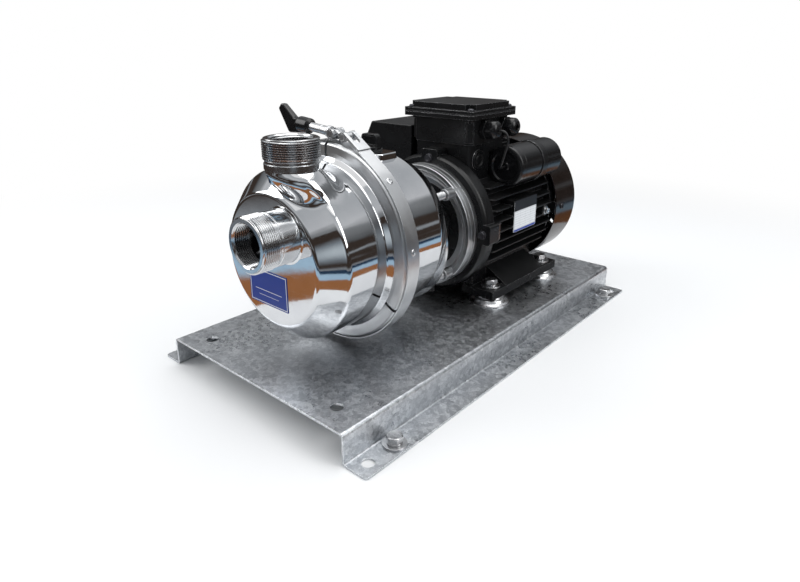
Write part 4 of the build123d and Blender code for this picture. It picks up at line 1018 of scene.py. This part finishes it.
def shell_point(x, y):
    """The point of the casing's top above a place in plan."""
    radius = 0.0
    for one, two in zip(casing_outline, casing_outline[1:]):
        low, high = sorted((one[1], two[1]))
        if low <= y <= high and high > low:
            part = (y - one[1]) / (two[1] - one[1])
            radius = max(radius, one[0] + (two[0] - one[0]) * part)
    return Vector((x, y, casing_z + math.sqrt(max(radius ** 2 - x ** 2, 0))))


def neck_blend(radius, top, start, front, rear, left, right, lean, steps=144, rows=18):
    """The surface that joins the neck to the shell; the four distances set where its foot lands."""
    builder = bmesh.new()
    rings = []
    middle_x, half_x = (left + right) / 2, (right - left) / 2
    middle_y, half_y = (front + rear) / 2, (rear - front) / 2
    for number in range(steps):
        angle = 2 * math.pi * number / steps
        out = Vector((math.cos(angle), math.sin(angle), 0))
        upper = Vector((discharge_x, discharge_y, start)) + out * radius
        foot = shell_point(middle_x + half_x * out.x, middle_y + half_y * out.y)
        along_x = shell_point(foot.x + 0.5, foot.y) - foot
        along_y = shell_point(foot.x, foot.y + 0.5) - foot
        normal = along_x.cross(along_y).normalized()
        away = foot - upper
        landing = (away - normal * away.dot(normal)).normalized()
        reach = away.length * 0.45
        leaving = out * lean * max(0.0, 0.5 + 0.5 * math.sin(angle + 0.9)) - Vector((0, 0, 1))
        points = [upper, upper + leaving.normalized() * reach, foot - landing * reach, foot - normal * 0.05]
        ring = [builder.verts.new(mm_point(upper.x, upper.y, top))]
        for row in range(rows + 1):
            part = row / rows
            rest = 1 - part
            place = (points[0] * rest ** 3 + points[1] * 3 * rest ** 2 * part
                     + points[2] * 3 * rest * part ** 2 + points[3] * part ** 3)
            ring.append(builder.verts.new(place * 0.001))
        rings.append(ring)
    for number, ring in enumerate(rings):
        bridge(builder, ring, rings[(number + 1) % steps], closed=False)
    return builder


discharge_hole = rod(17.0, 215.0, 275.0, "Z", (discharge_x, -230.0, 0), 96)
suction_hole = rod(port_bore, -270.0, -245.0, "Y", suction_centre, 96)
casing_shell = cut(turned(casing_outline, "Y", (0, 0, casing_z), 256), discharge_hole, suction_hole)
blend = neck_blend(27.6, 264.2, 262.6, -255.2, -186.0, -24.0, 72.0, 1.3)
inner_neck = turned([(23.0, 250.0), (24.5, 250.0), (27.4, 263.0), (27.4, 264.1), (23.0, 264.1)], "Z",
                    discharge_centre, 96)
weld_section = [(28.2, -259.3, 0.8), (31.2, -258.0), (31.2, -257.5), (28.2, -257.5)]
weld = spun(weld_section, 128, 4, "Y", suction_centre)
casing = joined(casing_shell, blend, inner_neck, weld)
keep_piece("front_casing", casing, "polished_stainless", "pump_casing", degrees=24.0)
label = softened(prism(box(-40, 108, 26, 149, 1.5), "Y", -258.5, -258.0), 0.12, 1)
keep_piece("label", label, "label_blue", "label_plate")

# %% [markdown]
# The drum behind the clamp is a second shell with a round back edge. A pad is welded on its top and
# drilled for the filler plug. The plug is a moulded thumb screw: a flange, a thread and a winged
# grip with a pocket on each side.

# %% Drum and filler plug
drum_outline = rounded_outline([
    (94.5, -160.0), (112.0, -160.0, 0.4), (112.0, -157.8, 0.5), (102.4, -152.4, 0.8), (102.4, -148.5, 2.0),
    (97.0, -143.0, 4.0), (97.0, -83.0, 9.0), (88.0, -62.0, 3.0), (33.0, -62.0), (33.0, -66.0),
    (84.0, -66.0, 2.0), (94.5, -85.0, 6.0),
], 8)
plug_y, pad_top = -100.0, 261.5
plug_centre = (0, plug_y, 0)


def drilled(shape):
    """A shape with the filler plug's hole in it."""
    return cut(shape, rod(10.6, 240.0, 270.0, "Z", plug_centre, 64))


pad = softened(prism(box(-31, -118, 31, -84, 7, 6), "Z", 244.0, pad_top), 1.6, 4)
drum = joined(drilled(turned(drum_outline, "Y", (0, 0, casing_z), 256)), drilled(pad))
keep_piece("drum", drum, "polished_stainless", "rear_casing", degrees=24.0)

plug_foot = pad_top + 2.0
plug_flange = spun([
    (0, 249.5), (9.2, 249.5, 0.6), (9.2, plug_foot), (12.5, plug_foot, 0.3), (12.5, plug_foot + 3.0, 1.6),
    (8.0, plug_foot + 5.2, 2.0), (0, plug_foot + 5.2)], 72, 4, "Z", plug_centre)
wing_outline = rounded_outline([(-13.2, 266.0), (13.2, 266.0), (12.0, 281.6, 4.6), (-12.0, 281.6, 4.6)], 6)
pocket = rounded_outline([(-10.2, 268.6, 1.5), (10.2, 268.6, 1.5), (9.4, 278.8, 2.6), (-9.4, 278.8, 2.6)], 4)
wing = cut(prism(wing_outline, "Y", plug_y - 4.2, plug_y + 4.2),
           prism(pocket, "Y", plug_y - 6.0, plug_y - 1.9), prism(pocket, "Y", plug_y + 1.9, plug_y + 6.0))
plug_thread = thread_ridge(6.0, 1.814, 9.2, 1.1, "black_plastic", move_to(0, plug_y, 250.6), steps=48)
plug = joined(plug_flange, softened(wing, 0.7, 3), plug_thread)
keep_piece("plug", plug, "black_plastic", "filler_plug", body="plug")

# %% [markdown]
# The band clamp is a flat strap over three rolled channels, which draw the two flanges together.
# Rivets hold the channels to the strap. The strap's ends run straight to the T-bolt, where loops
# hold the pins. The rivets are shallow and dimpled, like spot welds.

# %% Band clamp
channel = rounded_outline([
    (101.6, -173.0, 0.4), (107.0, -173.0, 1.0), (115.6, -172.6, 3.0), (117.9, -169.0, 2.2),
    (117.9, -153.0, 2.2), (115.6, -149.4, 3.0), (107.0, -149.0, 1.0), (101.6, -149.0, 0.4),
    (101.6, -150.6, 0.4), (104.6, -151.8, 0.8), (113.2, -157.4, 1.2), (113.2, -164.6, 1.2),
    (104.6, -170.2, 0.8), (101.6, -171.4, 0.4),
], 5)
clamp_y, strap_outside = -161.0, 119.5
channels, rivet_places = [], []
for middle in (30, 150, 270):
    channels.append(turned(channel, "Y", (0, 0, casing_z), 84, middle - 59.0, 118.0))
for middle in (25, -95, -215):
    for side in (19.5, -19.5):
        angle = math.radians(middle + side)
        way = (math.cos(angle), 0, math.sin(angle))
        rivet_places.append(((strap_outside * way[0], clamp_y, casing_z + strap_outside * way[2]), way))
keep_piece("clamp_channels", joined(*channels), "brushed_stainless", "clamp_retainers")
keep_copy("strap", "clamp_strap", "brushed_stainless", 0.25, 2, 50.0)
keep_copy("loops", "strap_loops", "brushed_stainless", 0.25)
rivet = spun([
    (0, -1.5), (2.5, -1.5), (2.5, 0.0), (4.0, 0.0), (3.9, 0.55, 0.4), (2.6, 0.98, 0.8), (1.6, 0.98),
    (1.3, 0.5, 0.2), (0, 0.45)], 28)
rivets = repeated(rivet, rivet_places, "brushed_stainless", 4)
keep_piece("rivets", rivets, "brushed_stainless", "clamp_rivets")

# %% [markdown]
# The closing gear is a T-bolt that swings on a pin, a slotted saddle that it drops into, a thrust
# washer, and a nut in the shape of a lever: a steel hub in a black moulded grip with one long arm.
# Each shape is turned along Z at the origin and then moved to the bolt's place and tilt.

# %% T-bolt and lever
bolt_tilt = math.radians(5.3)
bolt_matrix = Matrix((
    (0, math.sin(bolt_tilt), -math.cos(bolt_tilt), mm(24.0)),
    (-1, 0, 0, mm(clamp_y)),
    (0, math.cos(bolt_tilt), math.sin(bolt_tilt), mm(286.9)),
    (0, 0, 0, 1),
))
bolt = joined(
    spun([(0, 0), (3.35, 0), (3.35, 63.0), (2.6, 64.0), (0, 64.0)], 40),
    spun([(0, -9.5), (4.0, -9.5, 0.6), (4.0, 9.5, 0.6), (0, 9.5)], 40, axis="X"),
    spun([(0, 0), (4.0, 0), (4.0, 14.0, 0.6), (0, 14.0)], 40),
    thread_ridge(38, 1.25, 3.35, 0.62, "brushed_stainless", move_to(0, 0, 14.5), steps=36))
washer = spun([(4.2, 26.6, 0.2), (6.5, 26.6, 0.4), (6.5, 28.6, 0.4), (4.2, 28.6, 0.2)], 48)
hub = spun([
    (4.1, 28.7), (6.5, 28.7, 0.5), (6.5, 31.7, 0.5), (5.2, 31.7, 0.4), (5.2, 40.0, 0.3), (4.9, 40.4),
    (4.9, 41.4), (5.2, 41.8), (5.2, 81.0), (4.1, 81.0)], 56)
grip_boss = spun([
    (5.25, 60.0), (6.2, 60.0, 0.5), (9.0, 63.0, 1.5), (9.0, 79.0, 4.0), (6.0, 85.0, 2.5), (0, 85.0),
    (0, 82.0), (5.25, 82.0)], 64, 5)
arm_side = rounded_outline([
    (-8.2, 66.0, 2.0), (-12.8, 96.0, 5.0), (12.6, 116.3, 2.5), (18.8, 112.3, 2.5), (18.8, 107.6, 2.5),
    (6.0, 88.0, 5.0), (8.0, 70.0, 2.0)], 6)
arm = softened(prism(arm_side, "X", -4.6, 4.6), 1.7, 4, 50.0)
for vertex in arm.verts:
    rise = (vertex.co.y - mm(4.0)) / mm(15.0)
    if rise > 0:
        vertex.co.x *= 1.0 - 0.22 * min(rise, 1.0)
lever = joined(grip_boss, arm)
for shape in (bolt, washer, hub, lever):
    shape.transform(bolt_matrix)
keep_piece("swing_bolt", bolt, "brushed_stainless", "t_bolt", body="t_bolt")
keep_piece("washer", washer, "zinc", "thrust_washer", body="thrust_washer")
keep_piece("hub", hub, "brushed_stainless", "lever_hub", body="lever")
keep_piece("lever_grip", lever, "black_plastic", "clamp_lever", body="lever", degrees=40.0)
keep_copy("saddle", "clamp_trunnion", "zinc", 0.35)

# %% [markdown]
# The base plate is folded from one sheet, so its edges are square but not sharp. Each bolt stands on
# a split spring washer and a wide flat washer. A hexagonal head is a prism whose corners are turned
# off by a cone: each ring of points keeps the smaller of the hexagon and the cone.

# %% Base plate and its fasteners
def hex_shape(flats, levels, steps=48):
    """A hexagonal body along Z; levels hold (height, largest radius) as a closed section."""
    builder = bmesh.new()
    rings = []
    for height, largest in levels:
        ring = []
        for number in range(steps):
            angle = 2 * math.pi * number / steps
            part = (angle + math.pi / 6) % (math.pi / 3) - math.pi / 6
            radius = min(flats / 2 / math.cos(part), largest)
            place = on_axis("Z", (0, 0, 0), radius * math.cos(angle), radius * math.sin(angle), height)
            ring.append(builder.verts.new(place))
        rings.append(ring)
    for number, ring in enumerate(rings):
        above = (number + 1) % len(rings)
        if max(levels[number][1], levels[above][1]) > 0.01:
            bridge(builder, ring, rings[above])
    bmesh.ops.remove_doubles(builder, verts=builder.verts, dist=1e-7)
    return builder


def flat_washer(inner, outer, high, steps=56):
    """A flat washer that lies on z = 0."""
    return spun([(inner, 0.0), (outer, 0.0, 0.3), (outer, high, 0.6), (inner, high, 0.3)], steps)


def spring_washer(inner, outer, low, high):
    """A split washer whose ends stand a little apart."""
    section = [(inner, low, 0.3), (outer, low, 0.4), (outer, high, 0.5), (inner, high, 0.3)]
    builder = turned(rounded_outline(section, 2), "Z", steps=40, start=5, sweep=350)
    for vertex in builder.verts:
        angle = math.atan2(vertex.co.y, vertex.co.x) % (2 * math.pi)
        vertex.co.z += mm(0.45) * (angle / (2 * math.pi) - 0.5)
    return builder


def bolt_head(flats, low, height):
    """A hexagonal head with turned-off corners, a washer face and a dished top."""
    corner = flats / 2 / math.cos(math.pi / 6)
    high = low + height
    return hex_shape(flats, [
        (low, 0), (low, flats * 0.47), (low + 0.4, flats * 0.47), (low + 0.4, corner), (high - 1.5, corner),
        (high - 1.0, corner - 0.45), (high - 0.5, corner - 1.0), (high, flats * 0.47), (high, flats * 0.36),
        (high - 0.35, flats * 0.30), (high - 0.35, 0)])


def nut_shape(flats, bore, low, high):
    """A hexagonal nut with turned-off corners and a bevelled bore."""
    corner = flats / 2 / math.cos(math.pi / 6)
    return hex_shape(flats, [
        (low, bore), (low, flats * 0.47), (low + 1.1, corner), (high - 1.1, corner), (high, flats * 0.47),
        (high, bore + 0.6), (high - 0.6, bore)])


def plate_bolt(washer_radius, shank_foot):
    """A hexagon bolt with its spring washer and flat washer, standing on z = 0."""
    return joined(flat_washer(5.5, washer_radius, 2.5), spring_washer(5.3, 8.5, 2.5, 4.6),
                  bolt_head(16, 4.7, 6.4), rod(5.0, shank_foot, 4.8))


def corners_at(xs, ys, z, way=(0, 0, 1)):
    """A place for each pair of x and y, at one height and facing one way."""
    return [((x, y, z), way) for x in xs for y in ys]


foot_bolt_x, foot_bolt_y = (-80.0, 80.0), (57.0, 197.0)
foot_places = corners_at(foot_bolt_x, foot_bolt_y, 58.0)
tail_places = corners_at(foot_bolt_x, foot_bolt_y, 33.5, (0, 0, -1))
flange_places = corners_at((-165.0, 165.0), (-244.0, 260.0), 2.5)
tail_nut = joined(
    flat_washer(5.3, 10.0, 2.0, 32), nut_shape(16, 4.9, 2.0, 10.4),
    turned([(0, 0), (4.4, 0), (4.4, 15.0), (3.8, 15.7), (0, 15.7)], "Z", steps=24),
    thread_ridge(3.3, 1.5, 4.4, 0.6, "zinc", move_to(0, 0, 10.6), steps=24))
fasteners = joined(
    repeated(plate_bolt(14.0, -24.0), foot_places, "zinc", 3), repeated(tail_nut, tail_places, "zinc", 5),
    repeated(plate_bolt(13.0, -2.4), flange_places, "zinc", 8))
keep_copy("plate", "base_plate", "galvanised_steel", 0.35, 2, 50.0, 28.0)
keep_piece("base_fasteners", fasteners, "zinc", "foot_bolts", "foot_nuts", "flange_bolts", "base_washers")

# %% [markdown]
# Under each motor foot sits a pressed bell with a rubber core, which keeps the hum out of the plate.
# The bell is one pressed sheet with round steps, so one turned section serves all four.

# %% Foot mounts
bell = spun([
    (5.6, 10.0), (18.6, 10.0, 1.2), (19.4, 7.8, 0.8), (22.2, 7.2, 1.2), (24.4, 3.6, 1.4), (27.0, 1.5, 0.8),
    (29.0, 1.4, 0.6), (29.0, 0.1, 0.3), (26.0, 0.0, 0.5), (22.6, 4.6, 1.2), (20.4, 5.6, 1.0), (5.6, 8.0),
], 72, 4)
bells = repeated(bell, corners_at(foot_bolt_x, foot_bolt_y, 36.0), "zinc", 6)
keep_piece("bells", bells, "zinc", "foot_mounts")

# %% [markdown]
# A turned aluminium ring with four bosses carries the pump on four studs. Its rim has a bright turned
# face with shallow grooves, the rest is as cast; here the grooves are cut, and the whole ring takes
# the cast aluminium finish.

# %% Flange ring and studs
motor_z = 146.0
stud_circle = 77.0
boss_outline = [(5.0, -24.0, 0.4), (7.5, -24.0, 1.0), (7.7, 6.0), (5.0, 6.0)]
ring_parts = [spun([
    (62.0, 0.0, 1.0), (70.0, 0.0, 3.0), (75.5, -9.0, 1.5), (78.5, -9.0, 0.3), (78.9, -8.3, 0.2),
    (79.3, -9.0, 0.3), (84.5, -9.0, 1.2), (84.5, -3.4, 0.3), (83.9, -3.0, 0.2), (84.5, -2.6, 0.3),
    (84.5, 4.8, 0.3), (83.6, 5.2, 0.2), (84.5, 5.6, 0.3), (84.5, 13.0, 0.5), (62.0, 13.0),
], 192, 3, "Y", (0, 0, motor_z))]
stud_parts, nut_places = [], []
for degrees in (45, 135, 225, 315):
    x = stud_circle * math.cos(math.radians(degrees))
    z = motor_z + stud_circle * math.sin(math.radians(degrees))
    ring_parts.append(spun(boss_outline, 40, 3, "Y", (x, 0, z)))
    stud_parts.append(rod(4.35, -62.0, 9.0, "Y", (x, 0, z), 28))
    stud_parts.append(thread_ridge(22, 1.5, 4.35, 0.62, "dark_steel", move_to(x, -57.5, z, "Y"), steps=24))
    nut_places.append(((x, -58.0, z), (0, 1, 0)))
stud_nut = joined(flat_washer(5.2, 9.5, 1.5, 40), nut_shape(16, 5.0, 1.5, 9.5))
keep_piece("carrier_ring", joined(*ring_parts), "cast_aluminium", "flange_ring")
keep_piece("studs", joined(*stud_parts), "zinc", "column_studs")
keep_piece("stud_nuts", repeated(stud_nut, nut_places, "zinc", 2), "zinc", "column_nuts")

# %% [markdown]
# The motor frame is cast: a barrel with cooling fins, a plinth for the terminal box and pads for the
# plate and the earth screw. Real fins are thinner at the tip and their crests are round, which draws
# the bright lines along a black motor. Each kind of fin is shaped once and Geometry Nodes sets the
# rows.

# %% Motor frame with cooling fins
fin_tip, fin_pitch = 95.5, 14.4
can_centre = (74.0, 0, 223.5)
earth_place = (96.0, 173.0, 148.0)
plate_rectangle = (82, 134, 142, 179)
quarter_turns = (0, 90, 180, 270)
fin_outline = [(34.0, -23.0, 0), (34.0, -17.0, 0), (44.0, 0.0, 4.0), (192.0, 0.0, 3.0), (201.0, -6.0, 2.0),
               (201.0, -23.0, 0)]
short_outline = [(112.0, -23.0, 0), (112.0, 0.0, 2.0), *fin_outline[3:]]


def cooling_fin(outline, sign=1):
    """A cast fin in the YZ plane with its crest at the origin; sign turns it downward."""
    points = [(y, out * sign, radius) for y, out, radius in outline]
    fin = softened(prism(rounded_outline(points, 4), "X", -1.5, 1.5), 0.95, 3, 50.0)
    for vertex in fin.verts:
        depth = -vertex.co.z * sign / mm(18.0)
        vertex.co.x *= 0.78 + 0.3 * min(max(depth, 0.0), 1.0)
    return fin


def with_room(shape):
    """A shape with room for the capacitor cut out of it."""
    return cut(shape, rod(30.6, 82.0, 203.0, "Y", can_centre, 64))


def fins(outline, places, sign=1):
    """A row of cooling fins."""
    return repeated(cooling_fin(outline, sign), places, "black_paint", random_turn=0.0)


side_places, low_places, top_places = [], [], []
for number in range(8):
    rise = 54.0 - fin_pitch * number
    reach = math.sqrt(fin_tip ** 2 - rise ** 2)
    for side in (-1, 1):
        side_places.append(((side * reach, 0, motor_z + rise), (side, 0, 0)))
for number in range(5):
    x = (number - 2) * fin_pitch
    reach = math.sqrt(fin_tip ** 2 - x ** 2)
    low_places.append(((x, 0, motor_z - reach), (0, 0, 1)))
    top_places.append(((x, 0, motor_z + reach), (0, 0, 1)))
frame_parts = [
    turned([(73.0, 34.0), (78.0, 34.0), (78.0, 201.0), (73.0, 201.0)], "Y", (0, 0, motor_z), 160),
    with_room(fins(fin_outline, side_places)),
    fins(fin_outline, low_places, -1),
    fins(short_outline, top_places),
    with_room(softened(prism(box(-42, 35, 50, 119.5, 4), "Z", 192.0, 256.0), 0.6, 2)),
    spun([(0, 48.0), (13.5, 48.0), (13.5, 52.5, 1.0), (8.6, 52.5, 0.8), (8.0, 51.0, 0.6), (6.6, 51.0, 0.5),
          (6.0, 52.2, 0.6), (0, 52.2)], 56, 4, "X", (0, 56.6, 234.0)),
    softened(prism(box(*plate_rectangle), "X", 76.0, 96.0), 1.2, 3),
    spun([(0, 74.0), (9.0, 74.0), (8.0, 96.0, 1.0), (0, 96.0)], 40, 3, "X", (0, *earth_place[1:])),
]
for degrees in quarter_turns:
    lug = softened(prism([(70.0, 34.0), (101.0, 34.0), (98.0, 46.0), (70.0, 50.0)], "Z", -12.5, 12.5), 1.6, 3)
    lug.transform(Matrix.Translation((0, 0, mm(motor_z))) @ Matrix.Rotation(math.radians(-degrees), 4, "Y"))
    frame_parts.append(lug)
keep_piece("motor_body", joined(*frame_parts), "black_paint", "motor_frame", degrees=40.0)
keep_copy("feet", "motor_feet", "black_paint", 0.9, 3, degrees=40.0)
keep_copy("drive_shield", "front_shield", "black_paint", 1.0, 3, degrees=40.0)
keep_copy("cowl", "fan_cowl", "cowl_paint", 0.4)
motor_plate = softened(prism(box(*plate_rectangle, 1.5), "X", 96.0, 96.8), 0.15, 1)
keep_piece("motor_plate", motor_plate, "plate_silver", "rating_plate")

# %% [markdown]
# Three kinds of small screws close the motor: hexagon screws in the four lugs, cross-head screws
# round the cowl and in the corners of the lid. The cross is cut once into the pattern. The earth
# screw on the frame's side is a piece of its own.

# %% Motor screws
def cross_screw(radius, height):
    """A pan head with a cross recess."""
    head = spun([(0, -1.0), (radius, -1.0), (radius, height, height * 0.7), (0, height)], 28, 4)
    long, thin, low = radius * 0.62, radius * 0.13, height - 1.2
    one = prism(box(-long, -thin, long, thin), "Z", low, height + 1)
    two = prism(box(-thin, -long, thin, long), "Z", low, height + 1)
    return cut(head, one, two)


lug_circle, cowl_radius = 91.0, 99.0
lug_places, cowl_places = [], []
for degrees in quarter_turns:
    x, z = math.cos(math.radians(degrees)), math.sin(math.radians(degrees))
    lug_places.append(((lug_circle * x, 13.0, motor_z + lug_circle * z), (0, -1, 0)))
    cowl_places.append(((cowl_radius * x, 219.0, motor_z + cowl_radius * z), (x, 0, z)))
lid_places = corners_at((-45.0, 53.0), (31.0, 122.0), 300.9)
lug_screw = joined(flat_washer(2.8, 6.0, 0.9, 32), bolt_head(10, 0.8, 3.4))
screws = joined(
    repeated(lug_screw, lug_places, "dark_steel", 1),
    repeated(cross_screw(4.5, 2.0), cowl_places, "dark_steel", 2),
    repeated(cross_screw(4.5, 3.2), lid_places, "dark_steel", 9))
keep_piece("small_screws", screws, "dark_steel", "motor_screws")
earth = joined(flat_washer(2.0, 6.0, 1.2, 32), bolt_head(8, 1.2, 3.6))
earth_screw = repeated(earth, [(earth_place, (1, 0, 0))], "zinc", random_turn=0.0)
keep_piece("earth_screw", earth_screw, "zinc", "earth_terminal")

# %% [markdown]
# The terminal box stands on the plinth with its lid, two cable glands on its side, and a second box
# behind it. The capacitor lies beside the motor, and its lead goes into the first gland.

# %% Terminal box, glands and capacitor
keep_copy("box", "terminal_box", "black_paint", 0.7, 3, degrees=40.0)
keep_copy("lid", "box_lid", "black_paint", 0.9, 3, degrees=40.0)
keep_copy("side_box", "switch_box", "black_paint", 1.4, 4, degrees=40.0)
gland_bases, gland_caps = [], []
for y, cable in ((62.0, 1.7), (108.0, 4.0)):
    base = hex_shape(25, [
        (-6.0, 6.0), (-6.0, 9.9), (0.0, 9.9), (0.0, 13.4), (0.8, 14.2), (6.6, 14.2), (7.6, 13.2), (8.0, 11.6),
        (8.0, 10.0), (16.8, 10.0), (16.8, 6.0)])
    cap = hex_shape(24, [
        (8.3, 10.1), (8.3, 12.2), (9.0, 13.3), (16.0, 13.3), (18.0, 12.9), (20.0, 12.0), (21.8, 10.5),
        (23.2, 8.6), (24.0, 6.6), (24.0, cable + 0.9), (23.4, cable), (17.3, cable), (17.3, 10.1)])
    for shape, shapes in ((base, gland_bases), (cap, gland_caps)):
        shape.transform(move_to(54.0, y, 275.0, "X"))
        shapes.append(shape)
keep_piece("gland_base", joined(*gland_bases), "black_plastic", "gland_bodies")
keep_piece("gland_cap", joined(*gland_caps), "black_plastic", "gland_nuts")
can = spun([
    (0, 86.8), (5.0, 86.8, 0.8), (6.0, 88.0, 0.6), (19.0, 88.0, 1.0), (21.0, 86.0, 1.2), (28.5, 86.0, 3.6),
    (28.5, 98.0, 0.3), (27.9, 98.3, 0.2), (27.9, 98.9, 0.2), (28.2, 99.2, 0.3), (28.2, 199.0, 2.5),
    (0, 199.0)], 96, 4, "Y", can_centre)
keep_piece("can", can, "capacitor_plastic", "capacitor")
clip = keep_copy("can_clip", "capacitor_clip", "black_paint", 0.3)

# %% End
print("all pieces made")
